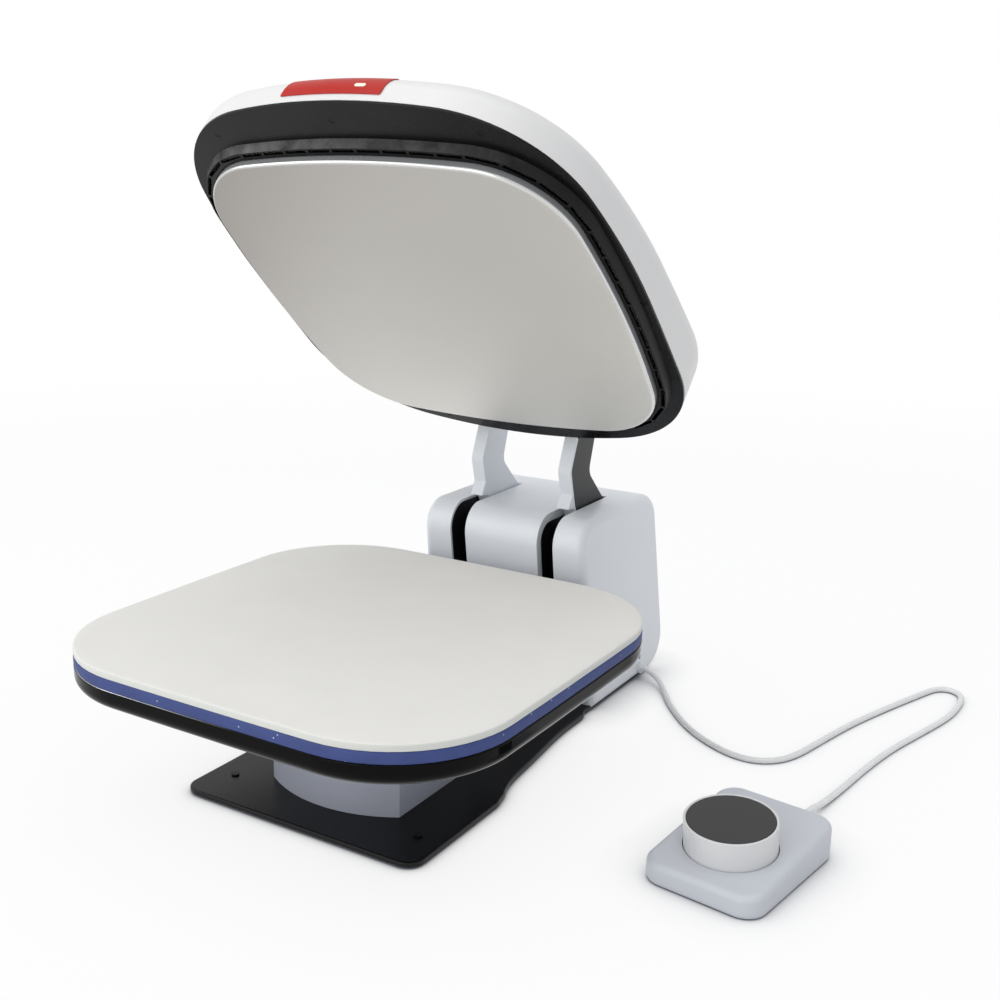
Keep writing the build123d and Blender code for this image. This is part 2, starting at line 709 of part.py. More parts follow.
motor_shaft_radius = 3.0
pinion_half_width = 5.0
bracket_x = 6.5
bracket_thickness = 2.5
motor_x = bracket_x + bracket_thickness
motor_screw_circle = 14.0
floor_top = base_top + frame_floor

with BuildPart() as drive_pinion:
    with BuildSketch(side_plane(-pinion_half_width)):
        with Locations((pinion_y, pinion_z)):
            Circle(pinion_root)
        pinion_angles = [mesh + pi + pinion_step * (k + 0.5) for k in range(PINION_TEETH)]
        add(gear_teeth((pinion_y, pinion_z), PINION_TEETH, pinion_angles))
    extrude(amount=2 * pinion_half_width)
    with BuildSketch(side_plane(pinion_half_width)):
        with Locations((pinion_y, pinion_z)):
            Circle(motor_shaft_radius)
    extrude(amount=motor_x + 7.5 - pinion_half_width)
save(drive_pinion.part, "drive_pinion")

with BuildPart() as motor_bracket:
    with BuildSketch(side_plane(bracket_x)):
        with BuildLine():
            Polyline(
                (pinion_y - 21, floor_top),
                (pinion_y + 26, floor_top),
                (pinion_y + 21, pinion_z + 21),
                (pinion_y - 21, pinion_z + 21),
                close=True,
            )
        make_face()
        with Locations((pinion_y, pinion_z)):
            Circle(6, mode=Mode.SUBTRACT)
            with PolarLocations(motor_screw_circle, 3):
                Circle(1.6, mode=Mode.SUBTRACT)
    extrude(amount=bracket_thickness)
    with BuildSketch(Plane.XY.offset(floor_top)):
        with Locations((bracket_x, pinion_y)):
            Rectangle(26, 40, align=(Align.MIN, Align.CENTER))
    extrude(amount=bracket_thickness)
save(motor_bracket.part, "motor_bracket")

with BuildPart() as gear_motor:
    with BuildSketch(side_plane(motor_x)):
        with Locations((pinion_y, pinion_z)):
            Circle(MOTOR_RADIUS)
    extrude(amount=MOTOR_LENGTH)
    chamfer(gear_motor.edges().group_by(Axis.X)[-1], length=1.6)
    with BuildSketch(side_plane(motor_x)):
        with Locations((pinion_y, pinion_z)):
            Circle(motor_shaft_radius + RUNNING)
    extrude(amount=9, mode=Mode.SUBTRACT)
    with BuildSketch(side_plane(motor_x)):
        with Locations((pinion_y, pinion_z)):
            with PolarLocations(motor_screw_circle, 3):
                Circle(1.6)
    extrude(amount=5, mode=Mode.SUBTRACT)
save(gear_motor.part, "gear_motor")

with BuildPart() as motor_screws:
    with BuildSketch(side_plane(bracket_x + 0.2)):
        with Locations((pinion_y, pinion_z)):
            with PolarLocations(motor_screw_circle, 3):
                Circle(1.5)
    extrude(amount=6)
save(motor_screws.part, "motor_screws")

# Control board on the frame's floor, and the mains inlet and switch in the rear wall

board_z = floor_top + 8
board_thickness = 1.6
board_x = -28.0
board_y = frame_front + 44

with BuildPart() as control_board:
    with BuildSketch(Plane.XY.offset(board_z)):
        with Locations((board_x, board_y)):
            Rectangle(56, 74)
    extrude(amount=board_thickness)
    with BuildSketch(Plane.XY.offset(floor_top)):
        with Locations((board_x, board_y)):
            with GridLocations(48, 66, 2, 2):
                Circle(2.6)
    extrude(amount=board_z - floor_top)
    with BuildSketch(Plane.XY.offset(board_z + board_thickness)):
        with Locations((board_x - 10, board_y + 16)):
            Rectangle(26, 28)
    extrude(amount=22)
    with BuildSketch(Plane.XY.offset(board_z + board_thickness)):
        with Locations((board_x + 16, board_y + 8), (board_x + 16, board_y - 8)):
            Circle(6)
    extrude(amount=24)
    with BuildSketch(Plane.XY.offset(board_z + board_thickness)):
        with Locations((board_x - 12, board_y - 22)):
            Rectangle(20, 24)
    extrude(amount=15)
save(control_board.part, "control_board")

with BuildPart() as power_inlet:
    with BuildSketch(rear_panel(inlet_x, SEAT)):
        RectangleRounded(50, 24, 4)
    extrude(amount=2.4)
    with BuildSketch(rear_panel(inlet_x, SEAT)):
        Rectangle(*inlet_body)
    extrude(amount=-20)
    with BuildSketch(rear_panel(inlet_x, SEAT + 2.4)):
        RectangleRounded(24, 16.4, 3)
    extrude(amount=-18, mode=Mode.SUBTRACT)
    with BuildSketch(rear_panel(inlet_x, SEAT + 2.4 - 18)):
        with Locations((-7, -2), (7, -2), (0, 2)):
            Rectangle(2, 4)
    extrude(amount=15)
    with Locations(rear_panel(inlet_x, SEAT + 2.4)):
        with GridLocations(40, 1, 2, 1):
            Hole(radius=1.7)
save(power_inlet.part, "power_inlet")

with BuildPart() as inlet_screws:
    with BuildSketch(rear_panel(inlet_x, SEAT + 2.4)):
        with GridLocations(40, 1, 2, 1):
            Circle(3.2)
    extrude(amount=1.4)
    chamfer(inlet_screws.edges().group_by(Axis((0, 0, 0), (0, 1, rear_slope)))[-1], length=0.7)
    with BuildSketch(rear_panel(inlet_x, SEAT + 2.4)):
        with GridLocations(40, 1, 2, 1):
            Circle(1.6)
    extrude(amount=-2.4)
save(inlet_screws.part, "inlet_screws")

rocker_pivot = rear_panel(switch_x, -1.0)
rocker_half_width = 5.2
rocker_stub_radius = 1.1
rocker_stub_reach = 6.0


def rocker_plane(offset):
    """Upright plane through the rocker's pivot, drawn in (out of the wall, up the wall)."""
    return Plane(
        origin=rocker_pivot.origin + Vector(offset, 0, 0),
        x_dir=rocker_pivot.z_dir,
        z_dir=(1, 0, 0),
    )


with BuildPart() as power_switch:
    with BuildSketch(rear_panel(switch_x, SEAT)):
        RectangleRounded(16, 22, 2)
    extrude(amount=1.6)
    with BuildSketch(rear_panel(switch_x, SEAT)):
        Rectangle(*switch_body)
    extrude(amount=-14)
    with BuildSketch(rear_panel(switch_x, SEAT + 1.6)):
        Rectangle(11, 17)
    extrude(amount=-11, mode=Mode.SUBTRACT)
    with BuildSketch(rocker_plane(-rocker_stub_reach - SEAT)):
        Circle(rocker_stub_radius + RUNNING)
    extrude(amount=2 * (rocker_stub_reach + SEAT), mode=Mode.SUBTRACT)
save(power_switch.part, "power_switch")

with BuildPart() as power_rocker:
    with BuildSketch(rocker_plane(-rocker_half_width)):
        with BuildLine():
            Polyline((-3, -6.2), (2.0, -7.2), (2.0, -0.2), (4.2, 7.2), (-1.6, 6.6), close=True)
        make_face()
    extrude(amount=2 * rocker_half_width)
    with BuildSketch(rocker_plane(-rocker_stub_reach)):
        Circle(rocker_stub_radius)
    extrude(amount=2 * rocker_stub_reach)
save(power_rocker.part, "power_rocker")

# Heated head, drawn on its own planes

ring_shape = grown(plate_shape, VENT_RING_WIDTH)
step_shape = grown(plate_shape, VENT_RING_WIDTH + VENT_STEP_DRAFT)
gap_shape = grown(plate_shape, PLATE_GAP)
slot_shape = grown(plate_shape, VENT_SLOT_PLACE)
channel_shape = grown(plate_shape, VENT_RING_WIDTH - 1.2)
plate_top = PLATE_THICKNESS - PLATE_PROUD
ring_thickness = 2.0
head_nose = HEAD_SHIFT - HEAD_FRONT
head_tail = HEAD_SHIFT + HEAD_REAR
bezel_screws = [(0, head_nose + 19.2)]
for side in (-1, 1):
    bezel_screws.append((side * 0.62 * HEAD_HALF_X, head_nose + 33.5))
    bezel_screws.append((side * (HEAD_HALF_X - 4.9), HEAD_SHIFT))
    bezel_screws.append((side * 0.41 * HEAD_HALF_X, head_tail - 19.0))
bezel_screw_radius = 1.5
bezel_screw_head = 3.0
boss_radius = 4.2
post_radius = 5.0
post_x = 0.51 * PLATE_HALF_X
post_spots = [(x, v * PLATE_HALF_Y) for x in (-post_x, post_x) for v in (-0.5, 0.82)]
carrier_low = 19.0
carrier_thickness = 3.0
carrier_top = carrier_low + carrier_thickness
cover_low = BEZEL_LIP + SEAT
cover_slope = (HEAD_REAR_HEIGHT - HEAD_FRONT_HEIGHT) / (HEAD_FRONT + HEAD_REAR)
cover_normal = (head_up - head_rear * cover_slope).normalized()
cover_axis = Axis((0, head_y, head_z), cover_normal)


def cover_form(skin, low):
    """The cover's outer form grown by a skin: a wedge that is higher at the rear."""
    peak = Vector(0, head_y, head_z) + head_rear * head_nose + head_up * HEAD_FRONT_HEIGHT
    with BuildPart() as form:
        with BuildSketch(head_level(low, HEAD_SHIFT)):
            add(head_face(skin))
        extrude(amount=2 * HEAD_REAR_HEIGHT)
        top = Plane(origin=peak + cover_normal * skin, x_dir=(1, 0, 0), z_dir=cover_normal)
        split(bisect_by=top, keep=Keep.BOTTOM)
        fillet(form.faces().sort_by(cover_axis)[-1].edges(), radius=HEAD_EDGE_ROUND + skin)
    return form.part


with BuildPart() as head_bosses:
    with BuildSketch(head_level(BEZEL_THICKNESS + SEAT)):
        with Locations(*bezel_screws):
            Circle(boss_radius)
    extrude(amount=HEAD_REAR_HEIGHT)
    with BuildSketch(head_level(carrier_top)):
        with Locations(*post_spots):
            Circle(post_radius)
    extrude(amount=HEAD_REAR_HEIGHT)
    add(cover_form(-HEAD_WALL / 2, cover_low), mode=Mode.INTERSECT)

arm_slot_high = 34.0

with BuildPart() as head_cover:
    add(cover_form(0, cover_low))
    add(cover_form(-HEAD_WALL, cover_low - 1), mode=Mode.SUBTRACT)
    add(head_bosses.part)
    with BuildSketch(head_level(BEZEL_THICKNESS)):
        with Locations(*bezel_screws):
            Circle(bezel_screw_radius - 0.2)
    extrude(amount=12, mode=Mode.SUBTRACT)
    for side in (-1, 1):
        with BuildSketch(head_level(0)):
            with Locations((side * (ARM_INNER_X + ARM_OUTER_X) / 2, head_tail)):
                Rectangle(ARM_OUTER_X - ARM_INNER_X + 2, 30)
        extrude(amount=arm_slot_high, mode=Mode.SUBTRACT)
save(head_cover.part, "head_cover")

with BuildPart() as head_bezel:
    with BuildSketch(head_level(0, HEAD_SHIFT)):
        add(head_face(-FREE))
    extrude(amount=BEZEL_LIP)
    with BuildSketch(head_level(BEZEL_LIP, HEAD_SHIFT)):
        add(head_face(-HEAD_WALL - FREE))
    extrude(amount=BEZEL_THICKNESS - BEZEL_LIP)
    with BuildSketch(head_level(0)):
        add(bowed_face(step_shape))
    with BuildSketch(head_level(-VENT_RING_DROP)):
        add(bowed_face(ring_shape))
    loft(ruled=True)
    with BuildSketch(head_level(ring_thickness - VENT_RING_DROP)):
        add(bowed_face(channel_shape))
    extrude(amount=VENT_RING_DROP + BEZEL_THICKNESS, mode=Mode.SUBTRACT)
    with BuildSketch(head_level(-VENT_RING_DROP - 1)):
        add(bowed_face(gap_shape))
    extrude(amount=VENT_RING_DROP + BEZEL_THICKNESS + 2, mode=Mode.SUBTRACT)
    with BuildSketch(head_level(-VENT_RING_DROP - 1)):
        vent_pitches = (VENT_PITCH_SIDE, VENT_PITCH_CORNER, VENT_PITCH_FRONT)
        for place, pitch in bowed_stations(slot_shape, *vent_pitches):
            with Locations(place):
                Rectangle(pitch - VENT_RIB, VENT_SLOT_WIDTH)
    extrude(amount=ring_thickness + 2, mode=Mode.SUBTRACT)
    with BuildSketch(head_level(-1)):
        with Locations(*bezel_screws):
            Circle(bezel_screw_radius + SEAT)
    extrude(amount=BEZEL_THICKNESS + 2, mode=Mode.SUBTRACT)
    with BuildSketch(head_level(-1)):
        with Locations(*bezel_screws):
            Circle(bezel_screw_head + SEAT)
    extrude(amount=2.4, mode=Mode.SUBTRACT)
save(head_bezel.part, "head_bezel")

with BuildPart() as bezel_screw_set:
    with BuildSketch(head_level(0.2)):
        with Locations(*bezel_screws):
            Circle(bezel_screw_head)
    extrude(amount=1.2)
    with BuildSketch(head_level(1.4)):
        with Locations(*bezel_screws):
            Circle(bezel_screw_radius - 0.25)
    extrude(amount=10)
save(bezel_screw_set.part, "bezel_screws")

with BuildPart() as heat_plate:
    with BuildSketch(head_level(-PLATE_PROUD)):
        add(bowed_face(plate_shape))
    extrude(amount=PLATE_THICKNESS)
    fillet(heat_plate.faces().sort_by(head_axis)[0].edges(), radius=PLATE_EDGE_ROUND)
save(heat_plate.part, "heat_plate")

element_radius = 3.5
element_w = plate_top + element_radius + SEAT
element_x = 0.72 * PLATE_HALF_X
element_v = 0.7 * PLATE_HALF_Y
element_loop = 0.57 * PLATE_HALF_Y

with BuildPart() as heating_element:
    with BuildLine(head_level(element_w)) as element_path:
        FilletPolyline(
            (-element_x, element_v),
            (-element_x, -element_v),
            (-element_x / 3, -element_v),
            (-element_x / 3, element_loop),
            (element_x / 3, element_loop),
            (element_x / 3, -element_v),
            (element_x, -element_v),
            (element_x, element_v),
            radius=0.2 * PLATE_HALF_X,
        )
    with BuildSketch(Plane(origin=element_path.line @ 0, z_dir=element_path.line % 0)):
        Circle(element_radius)
    sweep()
save(heating_element.part, "heating_element")

board_low = element_w + element_radius + SEAT
insulation_thickness = 6.0
stud_x = 0.48 * PLATE_HALF_X
stud_v = 0.44 * PLATE_HALF_Y
stud_spots = [(x, v) for x in (-stud_x, stud_x) for v in (-stud_v, stud_v)]
stud_radius = 4.0
stud_thread = 3.0
nut_height = 5.0

with BuildPart() as insulation_board:
    with BuildSketch(head_level(board_low)):
        add(bowed_face(grown(plate_shape, -6)))
        with Locations(*stud_spots):
            Circle(stud_radius + FREE, mode=Mode.SUBTRACT)
    extrude(amount=insulation_thickness)
save(insulation_board.part, "insulation_board")

with BuildPart() as plate_studs:
    with BuildSketch(head_level(plate_top)):
        with Locations(*stud_spots):
            Circle(stud_radius)
    extrude(amount=carrier_low - plate_top)
    with BuildSketch(head_level(carrier_low)):
        with Locations(*stud_spots):
            Circle(stud_thread)
    extrude(amount=carrier_thickness + nut_height + 1)
save(plate_studs.part, "plate_studs")

with BuildPart() as stud_nuts:
    with BuildSketch(head_level(carrier_top)):
        with Locations(*stud_spots):
            RegularPolygon(radius=5.8, side_count=6)
            Circle(stud_thread + SEAT, mode=Mode.SUBTRACT)
    extrude(amount=nut_height)
save(stud_nuts.part, "stud_nuts")

with BuildPart() as temperature_sensor:
    with BuildSketch(head_level(plate_top)):
        with Locations((0, -40)):
            RectangleRounded(14, 9, 2)
    extrude(amount=board_low - plate_top - SEAT)
save(temperature_sensor.part, "temperature_sensor")

# Arms: a steel gooseneck plate each, with a moulded cover on its inner side and front

tongue_low = carrier_top + 1.2
tongue_high = 33.0
arm_exit_v = head_tail
neck_v = arm_exit_v - 19.5
tongue_end = arm_exit_v - 117.5
ear_thickness = 3.0
ear_x = ARM_OUTER_X + SEAT
arm_bolt_spots = [(tongue_end + 23, 28.6), (tongue_end + 67, 28.6)]
arm_bolt_radius = 2.5
chin = (arm_exit_v + 13.6, -30.8)
throat = (arm_exit_v + 48.1, -51.8)
nape = (hub_v - 38.5, -47)
belly = (throat[0] + 0.37 * (nape[0] - throat[0]), -58)
crook = (arm_exit_v + 49.5, -7.6)
shoulder = (arm_exit_v + 29.8, tongue_high)
hub_low = (hub_v, hub_w - HUB_RADIUS)
hub_high = (hub_v, hub_w + HUB_RADIUS)

with BuildSketch() as arm_side:
    with BuildLine():
        Polyline(
            (tongue_end, tongue_low),
            (neck_v, tongue_low),
            (neck_v, 4.2),
            (arm_exit_v, 4.2),
            chin,
            throat,
            belly,
            nape,
            hub_low,
            hub_high,
            (hub_v - 71.5, -8.3),
            crook,
            shoulder,
            (tongue_end, tongue_high),
            close=True,
        )
    make_face()
    arm_bends = [(chin, 14), (throat, 30), (belly, 30), (nape, 30), (crook, 14), (shoulder, 14)]
    for bend, bend_radius in arm_bends:
        fillet(vertices().sort_by_distance(bend)[0], radius=bend_radius)

with BuildSketch() as arm_core:
    add(arm_side.sketch)
    add(arm_side.sketch.moved(Location((ARM_COVER_FRONT, ARM_COVER_FRONT, 0))), mode=Mode.INTERSECT)
    with Locations((hub_v, hub_w)):
        Circle(HUB_RADIUS)
        Circle(SHAFT_RADIUS + SEAT, mode=Mode.SUBTRACT)
    with Locations(*arm_bolt_spots):
        Circle(arm_bolt_radius + SEAT, mode=Mode.SUBTRACT)

cover_start_v = arm_exit_v + 0.4
cover_end_v = 332.0

with BuildSketch() as arm_cover_side:
    add(arm_side.sketch)
    with Locations((cover_start_v, 0)):
        Rectangle(cover_end_v - cover_start_v, 160, align=(Align.MIN, Align.CENTER), mode=Mode.INTERSECT)

with BuildSketch() as arm_cover_front:
    add(arm_side.sketch)
    shift = ARM_COVER_FRONT - SEAT
    add(arm_side.sketch.moved(Location((shift, shift, 0))), mode=Mode.SUBTRACT)
    with Locations((cover_start_v, 3)):
        Rectangle(76, 80, align=(Align.MIN, Align.MAX), mode=Mode.INTERSECT)

with BuildSketch() as arm_wedge:
    with BuildLine():
        wedge_high = (throat[0] - 12.6, throat[1] + 9.3)
        wedge_low = (throat[0] - 8.6, throat[1] - 7.5)
        Polyline(wedge_high, (throat[0] + 2.4, throat[1] + 0.8), wedge_low, close=True)
    make_face()

for name, side in (("left", -1), ("right", 1)):
    plate_start = side * (ARM_INNER_X + ARM_COVER_SIDE + SEAT)
    with BuildPart() as arm_plate:
        with BuildSketch(head_side(plate_start)):
            add(arm_core.sketch)
        extrude(amount=side * (ARM_OUTER_X - ARM_INNER_X - ARM_COVER_SIDE - SEAT))
    save(arm_plate.part, "arm_plate_" + name)
    with BuildPart() as arm_cover:
        with BuildSketch(head_side(side * ARM_INNER_X)):
            add(arm_cover_side.sketch)
        extrude(amount=side * ARM_COVER_SIDE)
        with BuildSketch(head_side(side * ARM_INNER_X)):
            add(arm_cover_front.sketch)
            add(arm_wedge.sketch)
        extrude(amount=side * (ARM_OUTER_X - ARM_INNER_X))
    save(arm_cover.part, "arm_cover_" + name)

with BuildPart() as arm_bolts:
    for side in (-1, 1):
        with BuildSketch(head_side(side * (ARM_INNER_X + ARM_COVER_SIDE - 3))):
            with Locations(*arm_bolt_spots):
                Circle(arm_bolt_radius)
        extrude(amount=side * (ear_x + ear_thickness - ARM_INNER_X - ARM_COVER_SIDE + 3))
        with BuildSketch(head_side(side * (ear_x + ear_thickness))):
            with Locations(*arm_bolt_spots):
                Circle(4.4)
        extrude(amount=side * 3)
        with BuildSketch(head_side(side * (ARM_INNER_X + ARM_COVER_SIDE + SEAT))):
            with Locations(*arm_bolt_spots):
                Circle(4.2)
        extrude(amount=side * -2.6)
save(arm_bolts.part, "arm_bolts")

with BuildPart() as carrier_frame:
    with BuildSketch(head_level(carrier_low)):
        with Locations((0, -0.6 * PLATE_HALF_Y)):
            carrier_size = (1.2 * PLATE_HALF_X, 1.63 * PLATE_HALF_Y)
            Rectangle(*carrier_size, align=(Align.CENTER, Align.MIN))
        Rectangle(0.7 * PLATE_HALF_X, 0.65 * PLATE_HALF_Y, mode=Mode.SUBTRACT)
        fillet(vertices(), radius=12)
        with Locations(*stud_spots):
            Circle(stud_thread + SEAT, mode=Mode.SUBTRACT)
    extrude(amount=carrier_thickness)
    for side in (-1, 1):
        with BuildSketch(head_side(side * ear_x)):
            with Locations((tongue_end, carrier_low)):
                ear_height = tongue_high - carrier_low
                Rectangle(85, ear_height, align=(Align.MIN, Align.MIN))
            with Locations(*arm_bolt_spots):
                Circle(arm_bolt_radius + SEAT, mode=Mode.SUBTRACT)
        extrude(amount=side * ear_thickness)
save(carrier_frame.part, "carrier_frame")

# Tag and window let into the front of the cover

tag_seat = 0.2
tag_thickness = 0.6
window_thickness = 0.9
window_u = 28.6
window_w = 17.2
tag_depth = 50.0


def front_view():
    """Plane across the head that faces the user, drawn in (x, w)."""
    return Plane(
        origin=Vector(0, head_y, head_z) + head_rear * (head_nose + tag_depth),
        x_dir=(1, 0, 0),
        z_dir=-head_rear,
    )


with BuildPart() as accent_tag:
    with BuildSketch(front_view()):
        with BuildLine():
            Polyline((-46, 8.4), (50, 8.4), (51.5, 34), (-44, 34), close=True)
        make_face()
        fillet(vertices(), radius=1.5)
    extrude(amount=tag_depth + 10)
    add(cover_form(tag_seat + tag_thickness, 0), mode=Mode.INTERSECT)
    add(cover_form(tag_seat, 0), mode=Mode.SUBTRACT)
    with BuildSketch(front_view()):
        with Locations((window_u, window_w)):
            SlotOverall(10 + 2 * SEAT, 3.6 + 2 * SEAT)
    extrude(amount=tag_depth + 10, mode=Mode.SUBTRACT)
save(accent_tag.part, "accent_tag")

with BuildPart() as led_window:
    with BuildSketch(front_view()):
        with Locations((window_u, window_w)):
            SlotOverall(10, 3.6)
    extrude(amount=tag_depth + 10)
    add(cover_form(tag_seat + window_thickness, 0), mode=Mode.INTERSECT)
    add(cover_form(tag_seat, 0), mode=Mode.SUBTRACT)
save(led_window.part, "led_window")

# Controller: a wedge-shaped case with a dial that turns and presses

yaw = radians(CONTROLLER_YAW)
slope = radians(CONTROLLER_SLOPE)
controller_foot = 1.2
cover_plate = 2.0


def controller_level(z, x=0.0, y=0.0):
    """Level plane of the controller at height z, its origin moved to x and y."""
    origin = (
        CONTROLLER_X + x * cos(yaw) - y * sin(yaw),
        CONTROLLER_Y + x * sin(yaw) + y * cos(yaw),
        z,
    )
    return Plane(origin=origin, x_dir=(cos(yaw), sin(yaw), 0), z_dir=(0, 0, 1))


def dial_level(t, x=DIAL_X, y=DIAL_Y):
    """Plane parallel to the sloping top at x and y, lifted t above it."""
    seat = controller_level(CONTROLLER_HEIGHT + y * tan(slope), x, y).origin
    normal = Vector(sin(yaw) * sin(slope), -cos(yaw) * sin(slope), cos(slope))
    return Plane(origin=seat + normal * t, x_dir=(cos(yaw), sin(yaw), 0), z_dir=normal)


def controller_block(inset, low, drop):
    """The case's outline, inset, from a level up to a slope that lies a drop below the top."""
    with BuildPart() as block:
        with BuildSketch(controller_level(low)):
            RectangleRounded(
                2 * (CONTROLLER_HALF_WIDTH - inset),
                2 * (CONTROLLER_HALF_DEPTH - inset),
                CONTROLLER_CORNER - inset,
            )
        extrude(amount=60)
        split(bisect_by=dial_level(-drop, 0, 0), keep=Keep.BOTTOM)
    return block.part


dial_top_axis = Axis(dial_level(0).origin, dial_level(0).z_dir)
case_low = controller_foot + cover_plate
stem_radius = 20.0
stem_top = 12.0
web_low = 3.0
dial_flange = 2.0
display_radius = DIAL_RADIUS - DIAL_WALL - 0.4

with BuildPart() as case_space:
    add(controller_block(CONTROLLER_WALL, controller_foot - 5, CONTROLLER_WALL))

with BuildPart() as controller_case:
    add(controller_block(0, case_low, 0))
    fillet(controller_case.faces().sort_by(dial_top_axis)[-1].edges(), radius=5.5)
    add(case_space.part, mode=Mode.SUBTRACT)
    with BuildSketch(dial_level(5)):
        Circle(DIAL_RADIUS + DIAL_GAP)
    extrude(amount=-9, mode=Mode.SUBTRACT)
    with BuildSketch(dial_level(-CONTROLLER_WALL)):
        Circle(DIAL_RADIUS + DIAL_GAP + 2.2)
        Circle(DIAL_RADIUS + DIAL_GAP, mode=Mode.SUBTRACT)
    extrude(amount=-4)
    relief_spot = controller_level(12.5, 12, CONTROLLER_HALF_DEPTH)
    with BuildSketch(Plane(origin=relief_spot.origin, x_dir=relief_spot.x_dir, z_dir=relief_spot.y_dir)):
        Circle(4.6)
    extrude(amount=-8, mode=Mode.SUBTRACT)
save(controller_case.part, "controller_case")

with BuildPart() as controller_bottom:
    with BuildSketch(controller_level(controller_foot)):
        RectangleRounded(
            2 * (CONTROLLER_HALF_WIDTH - 1),
            2 * (CONTROLLER_HALF_DEPTH - 1),
            CONTROLLER_CORNER - 1,
        )
    extrude(amount=cover_plate)
    with BuildSketch(controller_level(case_low)):
        with GridLocations(78, 112, 2, 2):
            Circle(4)
    extrude(amount=5)
save(controller_bottom.part, "controller_bottom")

with BuildPart() as controller_feet:
    with BuildSketch(controller_level(0)):
        with GridLocations(76, 114, 2, 2):
            Circle(6)
    extrude(amount=controller_foot)
save(controller_feet.part, "controller_feet")

with BuildPart() as dial_seat:
    with BuildSketch(dial_level(-CONTROLLER_WALL - 4)):
        Circle(DIAL_RADIUS + DIAL_GAP + 2.2)
    extrude(amount=-dial_flange)
    with BuildSketch(dial_level(-CONTROLLER_WALL - 4)):
        Circle(stem_radius)
    extrude(amount=CONTROLLER_WALL + 4 + stem_top)
    with BuildSketch(dial_level(-CONTROLLER_WALL - 4)):
        Circle(stem_radius + 4)
    extrude(amount=CONTROLLER_WALL + 4 + web_low - RUNNING)
    with BuildSketch(dial_level(stem_top)):
        Circle(8.3)
    extrude(amount=-14, mode=Mode.SUBTRACT)
save(dial_seat.part, "dial_seat")

with BuildPart() as controller_board:
    with BuildSketch(controller_level(case_low + 5)):
        Rectangle(88, 124)
    extrude(amount=1.6)
save(controller_board.part, "controller_board")

ring_low = -3.6

with BuildPart() as dial_ring:
    with BuildSketch(dial_level(ring_low)):
        Circle(DIAL_RADIUS)
        Circle(DIAL_RADIUS - DIAL_WALL, mode=Mode.SUBTRACT)
    extrude(amount=DIAL_HEIGHT - ring_low)
    with BuildSketch(dial_level(web_low)):
        Circle(DIAL_RADIUS - 1)
        Circle(stem_radius + RUNNING, mode=Mode.SUBTRACT)
    extrude(amount=2.4)
    chamfer(dial_ring.edges().group_by(dial_top_axis)[-1], length=0.5)
save(dial_ring.part, "dial_ring")

display_top = DIAL_HEIGHT - 0.3
display_thickness = 2.2
holder_low = stem_top + PRESS_TRAVEL + 0.4

with BuildPart() as dial_display:
    with BuildSketch(dial_level(display_top)):
        Circle(display_radius)
    extrude(amount=-display_thickness)
save(dial_display.part, "dial_display")

with BuildPart() as press_plunger:
    with BuildSketch(dial_level(display_top - display_thickness)):
        Circle(display_radius - 0.6)
    extrude(amount=holder_low - display_top + display_thickness)
    with BuildSketch(dial_level(holder_low)):
        Circle(8.3 - RUNNING)
    extrude(amount=-10)
save(press_plunger.part, "press_plunger")

# Lead: glands at both ends, and the lead as it lies on the floor

gland_out = 7.0
gland_flange = 6.4

with BuildPart() as lead_gland:
    with BuildSketch(right_wall(gland_y, gland_z, SEAT)):
        Circle(gland_flange)
    extrude(amount=2)
    with BuildSketch(right_wall(gland_y, gland_z, 2)):
        Circle(gland_radius)
    extrude(amount=gland_out - 2, taper=8)
    with BuildSketch(right_wall(gland_y, gland_z, SEAT)):
        Circle(gland_radius)
    extrude(amount=-7)
save(lead_gland.part, "lead_gland")

relief_out = 9.0
relief_plane = Plane(origin=relief_spot.origin, x_dir=relief_spot.x_dir, z_dir=relief_spot.y_dir)

with BuildPart() as lead_relief:
    with BuildSketch(relief_plane.offset(-4)):
        Circle(4.5)
    extrude(amount=4 + 2)
    with BuildSketch(relief_plane.offset(2)):
        Circle(4.4)
    extrude(amount=relief_out - 2, taper=7)
save(lead_relief.part, "lead_relief")

lead_rest = LEAD_RADIUS + 0.1
lead_grip = 1.0
lead_start = tuple(right_wall(gland_y, gland_z, gland_out - lead_grip).origin)
lead_end = tuple(relief_plane.offset(relief_out - lead_grip).origin)
lead_points = [
    lead_start,
    (121, 362.5, 9.6),
    (139, 343, 4.6),
    (158, 313, lead_rest),
    (195, 270, lead_rest),
    (234, 243, lead_rest),
    (267, 232, lead_rest),
    (291, 240, lead_rest),
    (307, 264, lead_rest),
    (317, 312, lead_rest),
    (331, 374, lead_rest),
    (351, 436, lead_rest),
    (370, 492, lead_rest),
    (378, 514, lead_rest),
    (389, 521, lead_rest),
    (402, 519.5, lead_rest),
    (411, 510.5, lead_rest),
    (414.5, 486, lead_rest),
    (408, 443, lead_rest),
    (394, 388, lead_rest),
    (379, 332, lead_rest),
    (370, 276, lead_rest),
    (364, 222, lead_rest),
    (359, 180, 4.5),
    (356.8, 153, 11.0),
    lead_end,
]


def bend_radii(points):
    """Radius of each bend: 0.45 of the shorter run over the tangent of half the turn."""
    spots = [Vector(*point) for point in points]
    radii = []
    for before, at, after in zip(spots, spots[1:], spots[2:]):
        turn = radians((at - before).get_angle(after - at))
        shorter = min((at - before).length, (after - at).length)
        radii.append(0.45 * shorter / tan(turn / 2))
    return radii


lead_radii = bend_radii(lead_points)
print("lead bend radii", [round(radius, 1) for radius in lead_radii])

